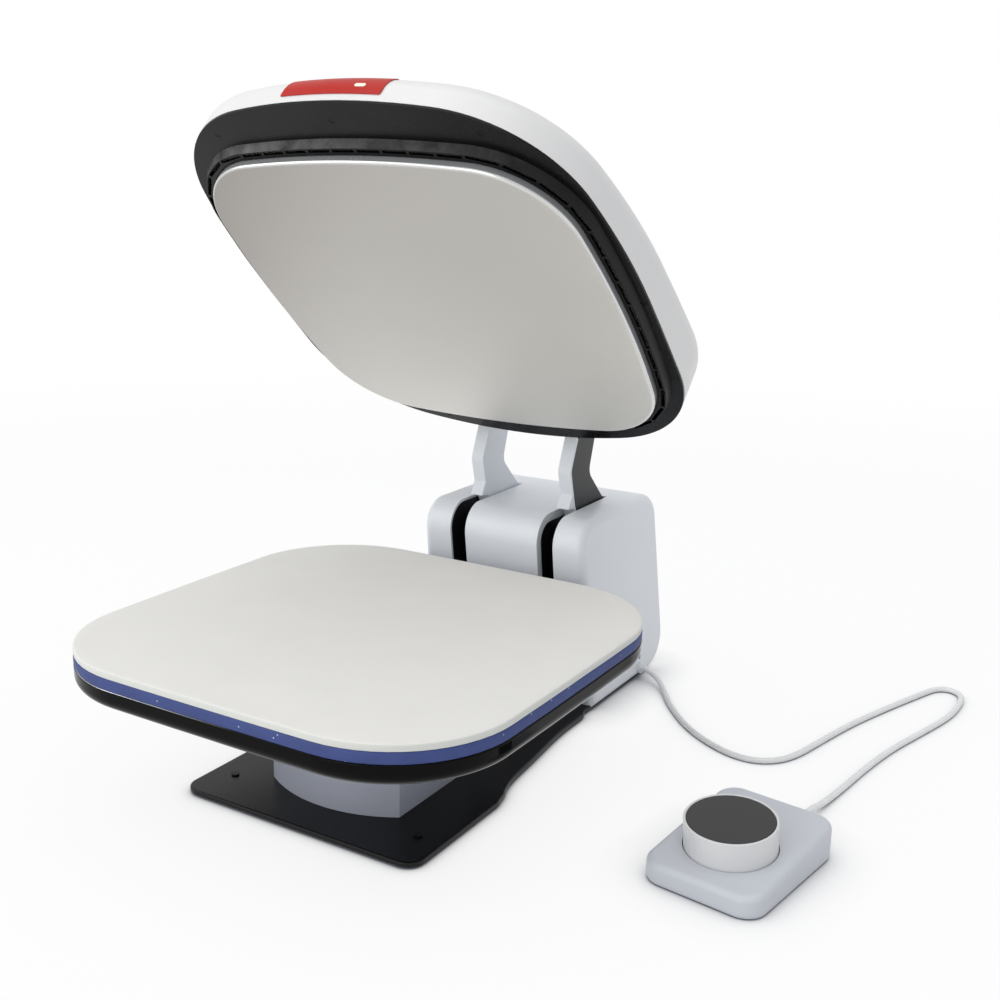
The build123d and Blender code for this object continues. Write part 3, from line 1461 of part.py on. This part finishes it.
with BuildPart() as control_lead:
    with BuildLine() as lead_path:
        FilletPolyline(*lead_points, radius=lead_radii)
    with BuildSketch(Plane(origin=lead_path.line @ 0, z_dir=lead_path.line % 0)):
        Circle(LEAD_RADIUS)
    sweep()
lead_length = sum(edge.length for edge in lead_path.edges())
tube_volume = pi * LEAD_RADIUS**2 * lead_length
print("lead length", round(lead_length, 1))
print("lead volume ratio", round(control_lead.part.volume / tube_volume, 4))
save(control_lead.part, "control_lead")
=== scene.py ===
import json
from math import atan2, cos, pi, sin, sqrt

import bmesh
import bpy
from mathutils import Matrix, Vector, noise


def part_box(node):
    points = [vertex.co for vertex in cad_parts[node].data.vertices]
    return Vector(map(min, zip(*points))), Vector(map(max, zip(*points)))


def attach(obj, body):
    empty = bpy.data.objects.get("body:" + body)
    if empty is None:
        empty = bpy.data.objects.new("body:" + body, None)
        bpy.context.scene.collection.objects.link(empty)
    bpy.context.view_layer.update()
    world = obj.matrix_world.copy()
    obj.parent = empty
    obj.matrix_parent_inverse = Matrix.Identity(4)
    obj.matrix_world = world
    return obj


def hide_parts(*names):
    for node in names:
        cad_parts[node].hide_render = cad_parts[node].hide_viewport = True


# A flat heat press on a pale studio floor. Metres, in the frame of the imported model.

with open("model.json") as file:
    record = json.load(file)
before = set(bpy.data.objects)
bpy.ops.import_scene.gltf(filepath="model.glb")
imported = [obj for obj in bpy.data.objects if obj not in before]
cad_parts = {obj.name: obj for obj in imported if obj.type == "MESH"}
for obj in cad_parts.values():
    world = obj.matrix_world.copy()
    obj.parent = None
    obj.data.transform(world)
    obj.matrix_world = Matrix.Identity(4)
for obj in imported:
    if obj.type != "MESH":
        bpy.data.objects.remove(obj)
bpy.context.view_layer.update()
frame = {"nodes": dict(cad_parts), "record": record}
nodes = frame["nodes"]

MM = 0.001


def srgb(red, green, blue):
    """A display colour, 0 to 255 a channel, as the linear colour that a shader takes."""
    def linear(channel):
        share = channel / 255
        return share / 12.92 if share <= 0.04045 else ((share + 0.055) / 1.055) ** 2.4
    return (linear(red), linear(green), linear(blue), 1.0)


# Camera: the photograph's viewpoint, in the part's frame

CAMERA_PLACE = (0.6451, -0.8774, 0.5447)
CAMERA_RIGHT = Vector((0.8373, 0.5468, 0.0079))
CAMERA_UP = Vector((-0.1427, 0.2044, 0.9685))
FOCAL_PIXELS = 1310.41
CENTRE_PIXEL = (438.52, 499.79)
PHOTO_PIXELS = 1000
SENSOR_WIDTH = 36.0
NEAREST_SEEN = 0.05
FARTHEST_SEEN = 60


def place_camera():
    """The camera that took the photograph, as fitted to the platen and the plate."""
    data = bpy.data.cameras.new("photo_camera")
    data.sensor_width = SENSOR_WIDTH
    data.lens = FOCAL_PIXELS / PHOTO_PIXELS * SENSOR_WIDTH
    data.shift_x = (PHOTO_PIXELS / 2 - CENTRE_PIXEL[0]) / PHOTO_PIXELS
    data.shift_y = (CENTRE_PIXEL[1] - PHOTO_PIXELS / 2) / PHOTO_PIXELS
    data.clip_start = NEAREST_SEEN
    data.clip_end = FARTHEST_SEEN
    camera = bpy.data.objects.new("photo_camera", data)
    bpy.context.scene.collection.objects.link(camera)
    right = CAMERA_RIGHT.normalized()
    back = right.cross(CAMERA_UP).normalized()
    up = back.cross(right)
    turn = Matrix((right, up, back)).transposed().to_4x4()
    camera.matrix_world = Matrix.Translation(CAMERA_PLACE) @ turn
    bpy.context.scene.camera = camera


# Shader sums

class Socket:
    """An output of a node. Sums with it add their Math nodes."""

    def __init__(self, owner, output):
        self.owner = owner
        self.output = output

    def math(self, operation, *values):
        return self.owner.node("Math", {"operation": operation}, dict(enumerate(values)))

    def __add__(self, other):
        return self.math("ADD", self, other)

    def __sub__(self, other):
        return self.math("SUBTRACT", self, other)

    def __rsub__(self, other):
        return self.math("SUBTRACT", other, self)

    def __mul__(self, other):
        return self.math("MULTIPLY", self, other)

    __radd__ = __add__
    __rmul__ = __mul__

    def clamped(self, low, high):
        """This value moved from the range low to high onto 0 to 1."""
        ranges = {0: self, 1: low, 2: high, 3: 0.0, 4: 1.0}
        return self.owner.node("MapRange", {"clamp": True}, ranges)


class NodeTree:
    """The nodes of a material or of the world."""

    def __init__(self, owner):
        owner.use_nodes = True
        self.tree = owner.node_tree

    def feed(self, socket, value):
        """Link a socket to another node's output, or set its value."""
        if isinstance(value, Socket):
            self.tree.links.new(value.output, socket)
        else:
            socket.default_value = value

    def node(self, kind, settings=None, inputs=None, output=0):
        """Add a node: its settings first, then its sockets' values or links."""
        made = self.tree.nodes.new("ShaderNode" + kind)
        for name, value in (settings or {}).items():
            setattr(made, name, value)
        for name, value in (inputs or {}).items():
            self.feed(made.inputs[name], value)
        return Socket(self, made.outputs[output])

    def ray(self, kind):
        """1 for the rays of one kind, such as Camera or Glossy, and 0 for the others."""
        return self.node("LightPath", output=f"Is {kind} Ray")


class Finish(NodeTree):
    """A material being made: its nodes, its shader, and what feeds them."""

    def __init__(self, name, colour, roughness, **shader_values):
        self.material = bpy.data.materials.new(name)
        super().__init__(self.material)
        self.shader = self.tree.nodes["Principled BSDF"]
        self.surface("Base Color", colour)
        self.surface("Roughness", roughness)
        for words, value in shader_values.items():
            self.surface(words.replace("_", " ").title().replace("Ior", "IOR"), value)

    def surface(self, name, value):
        """Feed one of the shader's own sockets."""
        self.feed(self.shader.inputs[name], value)

    def place(self, stretch=(1, 1, 1)):
        """Object coordinates in metres, stretched."""
        spot = self.node("TexCoord", output="Object")
        return self.node("Mapping", inputs={"Vector": spot, "Scale": stretch})

    def grain(self, size, detail, stretch=(1, 1, 1), rough=0.5):
        """Soft noise, 0 to 1, whose blotches are about size metres across."""
        sockets = {"Vector": self.place(stretch), "Scale": 1 / size}
        sockets.update({"Detail": detail, "Roughness": rough})
        return self.node("TexNoise", inputs=sockets)

    def pores(self, size):
        """Distance to the nearest of scattered points about size metres apart."""
        return self.node("TexVoronoi", inputs={"Vector": self.place(), "Scale": 1 / size})

    def along(self, direction, vector=None):
        """How far a spot lies along a direction, in metres, or another vector along it."""
        sockets = {0: vector or self.place(), 1: direction}
        return self.node("VectorMath", {"operation": "DOT_PRODUCT"}, sockets, output="Value")

    def facing(self, direction):
        """How much the surface faces a direction of the object: 1 fully, 0 edge on."""
        return self.along(direction, self.node("TexCoord", output="Normal"))

    def blend(self, mask, first, second):
        """A colour that goes from first to second as the mask goes from 0 to 1."""
        return self.node("Mix", {"data_type": "RGBA"}, {0: mask, 6: first, 7: second}, output=2)

    def bump(self, height, depth, strength):
        """Raise the surface by height, 0 to 1, times a depth in metres."""
        sockets = {"Height": height, "Distance": depth, "Strength": strength}
        self.surface("Normal", self.node("Bump", inputs=sockets))


def shade(colour, factor):
    """A colour made lighter or darker."""
    return tuple(min(1.0, part * factor) for part in colour[:3]) + (1.0,)


def mottled(finish, colour, size, spread):
    """Base colour that drifts a little lighter and darker over the surface."""
    drift = finish.grain(size, detail=4).clamped(0.3, 0.7)
    painted = finish.blend(drift, shade(colour, 1 - spread), shade(colour, 1 + spread))
    finish.surface("Base Color", painted)
    return drift


# Moulded plastic

def handling_marks(finish):
    """Faint smears where hands have been, 0 to 1."""
    return finish.grain(30 * MM, detail=5).clamped(0.45, 0.75)


def spark_texture(finish):
    """The fine eroded texture that a mould leaves."""
    finish.bump(finish.grain(0.7 * MM, detail=2), depth=0.02 * MM, strength=0.35)


def moulded_plastic(name, colour, roughness, specular=0.5):
    """Injection-moulded plastic: an even tone, faint spark-eroded texture, handling marks."""
    finish = Finish(name, colour, roughness, specular_ior_level=specular)
    mottled(finish, colour, size=90 * MM, spread=0.012)
    finish.surface("Roughness", handling_marks(finish) * 0.07 + (roughness - 0.03))
    spark_texture(finish)
    return finish.material


# The head's finishes follow its own face and fade from its front left corner, in metres; these fades
# are painted light and shade on the bezel's step and on the plate

HEAD_FACE = (0, -0.6845, -0.729)
HEAD_SHADE_RUN = (0.75, 0.48, -0.45)
BEZEL_STEP_REFLECTION_FADE = (-0.4, -0.1)
BEZEL_BLACK = srgb(10, 10, 11)
PLATE_PAINTED_SHADE_FADE = (-0.38, 0.04)


def bezel_moulding():
    """Black moulding: a satin band, and a step round the plate with a painted reflection that is
    paler in front.
    """
    finish = Finish("bezel_plastic", BEZEL_BLACK, 0.3, specular_ior_level=0.17)
    turned = finish.facing(HEAD_FACE)
    # Painted reflection: the step's sloped faces are lighter than the band, in patches, most of all
    # towards the front left
    slope = turned.clamped(0.06, 0.2) * (1 - turned.clamped(0.9, 0.985))
    front = 1 - finish.along(HEAD_SHADE_RUN).clamped(*BEZEL_STEP_REFLECTION_FADE)
    patches = finish.grain(20 * MM, detail=4, rough=0.65).clamped(0.3, 0.75)
    step_painted_reflection = finish.blend(front * patches, srgb(22, 22, 23), srgb(122, 122, 122))
    finish.surface("Base Color", finish.blend(slope, BEZEL_BLACK, step_painted_reflection))
    finish.surface("Roughness", handling_marks(finish) * 0.08 + 0.27)
    spark_texture(finish)
    return finish.material


def press_plate():
    """Ground and coated aluminium: satin and cloudy, with painted shade that greys it towards its
    front left corner.
    """
    finish = Finish("press_plate_coat", srgb(220, 218, 212), 0.4, metallic=1.0)
    # Painted shade and light: the face's colour runs from darker at the front left corner to lighter
    # at the back right
    painted_shade = finish.along(HEAD_SHADE_RUN).clamped(*PLATE_PAINTED_SHADE_FADE)
    turned = finish.facing(HEAD_FACE)
    rim = 1 - turned.clamped(0.8, 0.985)
    side = 1 - turned.clamped(0.05, 0.35)
    clouds = finish.grain(160 * MM, detail=3).clamped(0.25, 0.75)
    tone = finish.blend(painted_shade, srgb(160, 156, 152), srgb(253, 252, 248))
    face = finish.blend(clouds * 0.2, tone, srgb(220, 215, 207))
    edge = finish.blend(side, srgb(214, 214, 214), srgb(160, 161, 162))
    finish.surface("Base Color", finish.blend(rim, face, edge))
    lines = finish.grain(0.9 * MM, detail=3, stretch=(1, 0.04, 0.04))
    finish.surface("Roughness", lines * 0.06 + clouds * 0.05 + 0.44 - rim * 0.24)
    finish.surface("Metallic", 1 - side * 0.7)
    finish.bump(lines, depth=0.006 * MM, strength=0.3)
    return finish.material


# Painted and bare metal

TRAY_BLACK = srgb(6, 6, 7)
LIP_FACE = (0, -0.35, 0.94)
LIP_GLINT_START = (-0.185, -0.14)
LIP_GLINT_END = (-0.1, 0.03)
LIP_GLINT_DEPTH = (-0.19, -0.17)


def tray_enamel():
    """Gloss black enamel, with a painted highlight: part of the front lip is made bright metal."""
    finish = Finish("tray_gloss_black", TRAY_BLACK, 0.1, specular_ior_level=0.08)
    # Painted highlight: a tapered stretch on top of the front lip is bright metal, standing in for a
    # glint
    lip = finish.facing(LIP_FACE).clamped(0.82, 0.95)
    start = finish.along((1, 0, 0)).clamped(*LIP_GLINT_START)
    end = 1 - finish.along((1, 0, 0)).clamped(*LIP_GLINT_END)
    front = 1 - finish.along((0, 1, 0)).clamped(*LIP_GLINT_DEPTH)
    painted_glint = lip * start * end * front
    finish.surface("Base Color", finish.blend(painted_glint, TRAY_BLACK, srgb(226, 227, 229)))
    finish.surface("Metallic", painted_glint)
    smears = finish.grain(30 * MM, detail=4).clamped(0.4, 0.8)
    finish.surface("Roughness", smears * 0.08 + 0.08)
    finish.bump(finish.grain(4 * MM, detail=2), depth=0.02 * MM, strength=0.3)
    return finish.material


def coated_steel(name, colour, roughness, specular=0.5):
    """Powder coat on sheet steel: orange peel and a trace of dust."""
    finish = Finish(name, colour, roughness, specular_ior_level=specular)
    drift = mottled(finish, colour, size=120 * MM, spread=0.05)
    finish.surface("Roughness", drift * 0.08 + (roughness - 0.04))
    finish.bump(finish.grain(1.6 * MM, detail=1), depth=0.04 * MM, strength=0.5)
    return finish.material


def bare_metal(name, colour, roughness, run=(1, 1, 1)):
    """Plain or plated metal with a faint grain along its run."""
    finish = Finish(name, colour, roughness, metallic=1.0)
    lines = finish.grain(1.2 * MM, detail=3, stretch=run)
    mottled(finish, colour, size=20 * MM, spread=0.06)
    finish.surface("Roughness", lines * 0.18 + (roughness - 0.09))
    finish.bump(lines, depth=0.01 * MM, strength=0.4)
    return finish.material


# Pads, board, glass and rubber

def felt():
    """Needled white felt: short fibres, a soft nap, a faint cloudiness, and painted shade on its
    sides.
    """
    colour = srgb(229, 227, 222)
    finish = Finish("pad_felt", colour, 0.95, sheen_weight=0.25, sheen_roughness=0.6)
    fibres = finish.grain(1.1 * MM, detail=6, rough=0.7)
    cloud = finish.grain(50 * MM, detail=4).clamped(0.3, 0.7)
    nap = finish.blend(cloud, shade(colour, 0.988), shade(colour, 1.012))
    # Painted shade: the pad's sides are coloured a little darker and greener than its top
    side_painted_shade = 1 - finish.facing((0, 0, 1)).clamped(0.2, 0.8)
    finish.surface("Base Color", finish.blend(side_painted_shade, nap, srgb(214, 215, 209)))
    finish.bump(fibres, depth=0.18 * MM, strength=0.6)
    return finish.material


def silicone_sponge():
    """Blue silicone sponge: matte, with fine closed cells and a few specks of dust."""
    colour = srgb(50, 66, 122)
    finish = Finish("pad_silicone", colour, 0.62)
    cells = finish.pores(1.4 * MM).clamped(0.0, 0.8)
    patch = finish.grain(20 * MM, detail=3).clamped(0.3, 0.7)
    tone = finish.blend(patch, shade(colour, 0.9), shade(colour, 1.12))
    sponge = finish.blend(cells * 0.25, tone, shade(colour, 1.3))
    dust = 1 - finish.pores(9 * MM).clamped(0.05, 0.08)
    finish.surface("Base Color", finish.blend(dust, sponge, srgb(196, 202, 216)))
    finish.bump(cells, depth=0.12 * MM, strength=0.5)
    return finish.material


def insulation():
    """Pressed mineral board."""
    colour = srgb(214, 206, 186)
    finish = Finish("mineral_board", colour, 0.95)
    mottled(finish, colour, size=8 * MM, spread=0.08)
    finish.bump(finish.grain(1.2 * MM, detail=5), depth=0.2 * MM, strength=0.8)
    return finish.material


def dark_glass():
    """The dial's cover glass over a dark display."""
    finish = Finish("display_glass", srgb(10, 10, 12), 0.035, ior=1.52)
    smears = finish.grain(20 * MM, detail=5).clamped(0.5, 0.8)
    finish.surface("Roughness", smears * 0.05 + 0.03)
    return finish.material


def circuit_board():
    """Green solder mask with a hint of its tracks."""
    colour = srgb(24, 92, 52)
    finish = Finish("solder_mask", colour, 0.35)
    tracks = finish.grain(4 * MM, detail=1, stretch=(1, 0.15, 1)).clamped(0.48, 0.52)
    finish.surface("Base Color", finish.blend(tracks, colour, shade(colour, 1.5)))
    finish.bump(tracks, depth=0.04 * MM, strength=0.5)
    return finish.material


def soft_rubber(name, colour, roughness):
    """Moulded rubber or the sheath of a lead."""
    finish = Finish(name, colour, roughness)
    bloom = mottled(finish, colour, size=15 * MM, spread=0.03)
    finish.surface("Roughness", bloom * 0.1 + (roughness - 0.05))
    finish.bump(finish.grain(0.9 * MM, detail=2), depth=0.02 * MM, strength=0.4)
    return finish.material


SLOT_FINISHES = {
    "pad_white": felt(),
    "silicone_blue": silicone_sponge(),
    "tray_black": tray_enamel(),
    "base_white": coated_steel("pedestal_enamel", srgb(172, 176, 188), 0.42),
    "base_black": coated_steel("base_black_coat", srgb(4, 4, 5), 0.34, specular=0.28),
    "tower_grey": moulded_plastic("tower_plastic", srgb(227, 230, 234), 0.36),
    "liner_black": moulded_plastic("liner_plastic", srgb(22, 22, 24), 0.4),
    "cover_white": moulded_plastic("cover_plastic", srgb(224, 223, 222), 0.36),
    "bezel_black": bezel_moulding(),
    "plate_coated": press_plate(),
    "steel": bare_metal("frame_steel", srgb(176, 177, 180), 0.4, run=(1, 0.1, 1)),
    "zinc": bare_metal("zinc_plate", srgb(200, 200, 202), 0.32),
    "screw_black": bare_metal("blackened_steel", srgb(40, 40, 42), 0.4),
    "arm_steel": coated_steel("arm_black_coat", srgb(20, 21, 22), 0.45),
    "arm_cover": moulded_plastic("arm_cover_plastic", srgb(222, 226, 231), 0.38),
    "brass": bare_metal("sintered_bronze", srgb(190, 150, 90), 0.5),
    "gear_steel": bare_metal("gear_steel", srgb(150, 150, 154), 0.35, run=(0.1, 1, 1)),
    "insulation": insulation(),
    "red_tag": moulded_plastic("tag_red", srgb(178, 26, 11), 0.4, specular=0.25),
    "window": moulded_plastic("window_milk", srgb(246, 242, 220), 0.25),
    "rubber_dark": soft_rubber("foot_rubber", srgb(34, 34, 36), 0.7),
    "board_green": circuit_board(),
    "case_grey": moulded_plastic("controller_plastic", srgb(202, 205, 211), 0.42),
    "dial_white": moulded_plastic("dial_plastic", srgb(222, 222, 222), 0.35),
    "display_black": dark_glass(),
    "lead_white": soft_rubber("lead_sheath", srgb(236, 236, 235), 0.5),
}
slot_of_node = {entry["node"]: entry["material_slot"] for entry in frame["record"]["subparts"]}


def finish_nodes():
    """Give every CAD node the finish of its slot; the screws in the black base are blackened."""
    for name, piece in nodes.items():
        piece.data.materials.clear()
        slot = "screw_black" if name == "foot_screws" else slot_of_node[name]
        piece.data.materials.append(SLOT_FINISHES[slot])


def new_piece(name, mesh, slot, body):
    """Link a finished mesh into the scene and let it ride on a body."""
    piece = bpy.data.objects.new(name, mesh)
    bpy.context.scene.collection.objects.link(piece)
    mesh.materials.append(SLOT_FINISHES[slot])
    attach(piece, body)
    return piece


# Pads: thick cut pieces with softened edges that lie on the tray

PAD_CORNER = 106 * MM
PAD_BOW = 10000 * MM
PAD_STATIONS = 14

# An edge's levels from the underside up, each an inset and a share of the pad's height
FELT_EDGE = (
    (0.7 * MM, 0),
    (0.2 * MM, 0.06),
    (0, 0.18),
    (0, 0.72),
    (0.15 * MM, 0.88),
    (0.55 * MM, 0.97),
    (1.5 * MM, 1),
)
SPONGE_EDGE = ((0.8 * MM, 0), (0.2 * MM, 0.06), (0, 0.3), (0, 0.7), (0.2 * MM, 0.94), (0.8 * MM, 1))
CROWN_RINGS = (0.97, 0.9, 0.8, 0.66, 0.5, 0.34, 0.18, 0.06)

CUT_WOBBLE = 0.25 * MM
CUT_WAVES = 22
CUT_WAVES_UPRIGHT = 3
CROWN_WAVES = 9
CROWN_SINK = 0.6
FELT_RIPPLE = 0.5 * MM


def bowed_outline(half, corner, bow, stations):
    """Points round a square with round corners whose sides bow outwards on tangent arcs."""
    side = half - bow
    centre = (side + sqrt(2 * (bow - corner) ** 2 - side**2)) / 2
    start = atan2(centre, centre - side)
    points = []
    for quarter in range(4):
        turn = quarter * pi / 2
        for step in range(-stations, stations):
            angle = start * step / stations
            points.append((side + bow * cos(angle), bow * sin(angle), turn))
        for step in range(stations):
            angle = start + (pi / 2 - 2 * start) * step / stations
            points.append((centre + corner * cos(angle), centre + corner * sin(angle), turn))
    return [(x * cos(t) - y * sin(t), x * sin(t) + y * cos(t)) for x, y, t in points]


def edge_spots(outline, half, z, inset, wobble):
    """The outline at one level of the edge, drawn in and cut a little unevenly."""
    spots = []
    for x, y in outline:
        swing = noise.noise(Vector((x, y, z * CUT_WAVES_UPRIGHT)) * CUT_WAVES) * wobble
        grow = (1 - inset / half) * (1 + swing / half)
        spots.append((x * grow, y * grow, z))
    return spots


def crown_spots(outline, shrink, top, ripple):
    """One ring of the top face, which dips and rises a little."""
    spots = []
    for x, y in outline:
        spot = Vector((x * shrink, y * shrink, 0))
        dip = (noise.noise(spot * CROWN_WAVES) - CROWN_SINK) * ripple
        spots.append((spot.x, spot.y, top + dip))
    return spots


def pad_mesh(name, low, high, edge, ripple):
    """A pad from its underside to its top: an outline at each level, then rings inwards."""
    centre = (low + high) / 2
    half = (high.x - low.x) / 2
    outline = bowed_outline(half, PAD_CORNER, PAD_BOW, PAD_STATIONS)
    levels = []
    for inset, share in edge:
        wobble = 0.0 if share in (0, 1) else CUT_WOBBLE
        z = low.z + share * (high.z - low.z)
        levels.append(edge_spots(outline, half, z, inset, wobble))
    top_inset = edge[-1][0]
    for share in CROWN_RINGS:
        levels.append(crown_spots(outline, (1 - top_inset / half) * share, high.z, ripple))
    build = bmesh.new()
    rings = []
    for spots in levels:
        rings.append([build.verts.new((centre.x + x, centre.y + y, z)) for x, y, z in spots])
    for below, above in zip(rings, rings[1:]):
        for here in range(len(below)):
            after = (here + 1) % len(below)
            build.faces.new((below[here], below[after], above[after], above[here]))
    build.faces.new(list(reversed(rings[0])))
    build.faces.new(rings[-1])
    mesh = bpy.data.meshes.new(name)
    build.to_mesh(mesh)
    build.free()
    mesh.shade_smooth()
    return mesh


def lay_pad(name, node, slot, edge, ripple):
    """A pad in the place of its CAD solid."""
    low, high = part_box(node)
    pad = new_piece(name, pad_mesh(name, low, high, edge, ripple), slot, "base")
    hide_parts(node)


def lay_pads():
    """The felt pad and, under it, the blue silicone sponge."""
    lay_pad("felt_pad", "top_pad", "pad_white", FELT_EDGE, FELT_RIPPLE)
    lay_pad("sponge_pad", "silicone_pad", "silicone_blue", SPONGE_EDGE, 0)


# Lead: from the tower's gland to the controller's relief, along the floor

LEAD_DIAMETER = 5.6 * MM
LEAD_STEPS = 8
LEAD_ROUNDNESS = 5

# The route of its axis in millimetres, at LEAD_REST where it lies on the floor
LEAD_REST = 2.9
LEAD_POINTS = (
    (106.08, 366, 13.64),
    (121, 362.5, 9.6),
    (139, 343, 4.6),
    (158, 313, LEAD_REST),
    (195, 270, LEAD_REST),
    (234, 243, LEAD_REST),
    (267, 232, LEAD_REST),
    (291, 240, LEAD_REST),
    (307, 264, LEAD_REST),
    (317, 312, LEAD_REST),
    (331, 374, LEAD_REST),
    (351, 436, LEAD_REST),
    (370, 490, LEAD_REST),
    (378, 511, LEAD_REST),
    (389, 518, LEAD_REST),
    (400, 515, LEAD_REST),
    (407, 505, LEAD_REST),
    (410, 483, LEAD_REST),
    (408, 443, LEAD_REST),
    (394, 388, LEAD_REST),
    (379, 332, LEAD_REST),
    (370, 276, LEAD_REST),
    (364, 222, LEAD_REST),
    (359, 180, 4.5),
    (356.8, 153, 11.0),
    (356.1, 125.8, 12.5),
)


def run_lead():
    """The lead as one smooth curve along its route."""
    data = bpy.data.curves.new("control_lead_cord", "CURVE")
    data.dimensions = "3D"
    data.resolution_u = LEAD_STEPS
    data.bevel_depth = LEAD_DIAMETER / 2
    data.bevel_resolution = LEAD_ROUNDNESS
    data.use_fill_caps = True
    line = data.splines.new("NURBS")
    line.points.add(len(LEAD_POINTS) - 1)
    for point, spot in zip(line.points, LEAD_POINTS):
        point.co = (spot[0] * MM, spot[1] * MM, spot[2] * MM, 1)
    line.order_u = 3
    line.use_endpoint_u = True
    lead = new_piece("control_lead_cord", data, "lead_white", "base")
    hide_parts("control_lead")


# Studio: pale floor, soft lamps, pale surroundings

FLOOR_REACH = 14
PAPER = srgb(245, 245, 245)
PAINTED_SHADOW_PAPER = srgb(126, 130, 144)
SHELTER_REACH = 50 * MM
SHELTER_SAMPLES = 12
SHELTER_SHADOW = 1.3
OPEN_SHADOW = 0.11
SHADOW_RADIUS = 2.5

WHITE = (1, 1, 1, 1)
AIR_COLOUR = (0.95, 0.97, 1.0, 1)
AIR_LEVEL = 0.64
MIRRORED_AIR = 0.6


def studio_floor():
    """A wide floor that reads as white to the camera but still takes the shadows, with painted
    contact shadows darkening it under and beside nearby things.
    """
    mesh = bpy.data.meshes.new("studio_floor")
    corners = [(x * FLOOR_REACH, y * FLOOR_REACH, 0) for x, y in ((-1, -1), (1, -1), (1, 1), (-1, 1))]
    mesh.from_pydata(corners, [], [(0, 1, 2, 3)])
    floor = bpy.data.objects.new("studio_floor", mesh)
    bpy.context.scene.collection.objects.link(floor)
    finish = Finish("floor_paper", PAPER, 0.9)
    glow = finish.node("Emission", inputs={"Color": WHITE, "Strength": 1.0})
    paper = Socket(finish, finish.shader.outputs[0])
    spot = {"Vector": finish.place([1 / SHADOW_RADIUS] * 3)}
    near = finish.node("TexGradient", {"gradient_type": "SPHERICAL"}, spot)
    reach = {"Distance": SHELTER_REACH}
    # Painted shadow: where ambient occlusion finds things close by, the paper's colour darkens and
    # less of the white glow shows
    openness = finish.node("AmbientOcclusion", {"samples": SHELTER_SAMPLES}, reach, output="AO")
    painted_shadow = 1 - openness
    finish.surface("Base Color", finish.blend(painted_shadow, PAPER, PAINTED_SHADOW_PAPER))
    shadow = (painted_shadow * SHELTER_SHADOW + OPEN_SHADOW).clamped(0, 1)
    kept_shadow = near.clamped(0, 0.5) * shadow
    shown = finish.ray("Camera") + finish.ray("Glossy") + finish.ray("Transmission")
    share = shown.clamped(0, 1) * (1 - kept_shadow)
    mixed = finish.node("MixShader", inputs={0: share, 1: paper, 2: glow})
    finish.feed(finish.tree.nodes["Material Output"].inputs["Surface"], mixed)
    mesh.materials.append(finish.material)


def surroundings():
    """White to the camera and to mirrors, a plain level of light for everything else."""
    world = bpy.data.worlds.new("studio_air")
    bpy.context.scene.world = world
    air = NodeTree(world)
    level = air.node("Background", inputs={"Color": AIR_COLOUR, "Strength": AIR_LEVEL})
    white = air.node("Background", inputs={"Color": WHITE, "Strength": 1.0})
    shown = air.ray("Camera") + air.ray("Glossy") * MIRRORED_AIR + air.ray("Transmission")
    mixed = air.node("MixShader", inputs={0: shown.clamped(0, 1), 1: level, 2: white})
    air.feed(air.tree.nodes["World Output"].inputs["Surface"], mixed)


def lamp(name, place, aim, size, watts):
    """A square soft box at a place, turned towards a spot."""
    data = bpy.data.lights.new(name, "AREA")
    data.shape = "SQUARE"
    data.size = size
    data.energy = watts
    light = bpy.data.objects.new(name, data)
    bpy.context.scene.collection.objects.link(light)
    light.location = place
    light.rotation_mode = "QUATERNION"
    light.rotation_quaternion = (Vector(aim) - Vector(place)).to_track_quat("-Z", "Y")


place_camera()
run_lead()
lay_pads()
finish_nodes()
studio_floor()
surroundings()
lamp("overhead_box", place=(0.1, -0.3, 2.6), aim=(0.05, 0.1, 0.2), size=2.4, watts=21)
lamp("left_box", place=(-2.0, -1.6, 1.5), aim=(0, 0, 0.25), size=1.8, watts=17)
lamp("front_box", place=(-0.3, -2.6, 1.0), aim=(0, 0.1, 0.3), size=1.6, watts=13)

bpy.context.scene.view_settings.view_transform = "Standard"
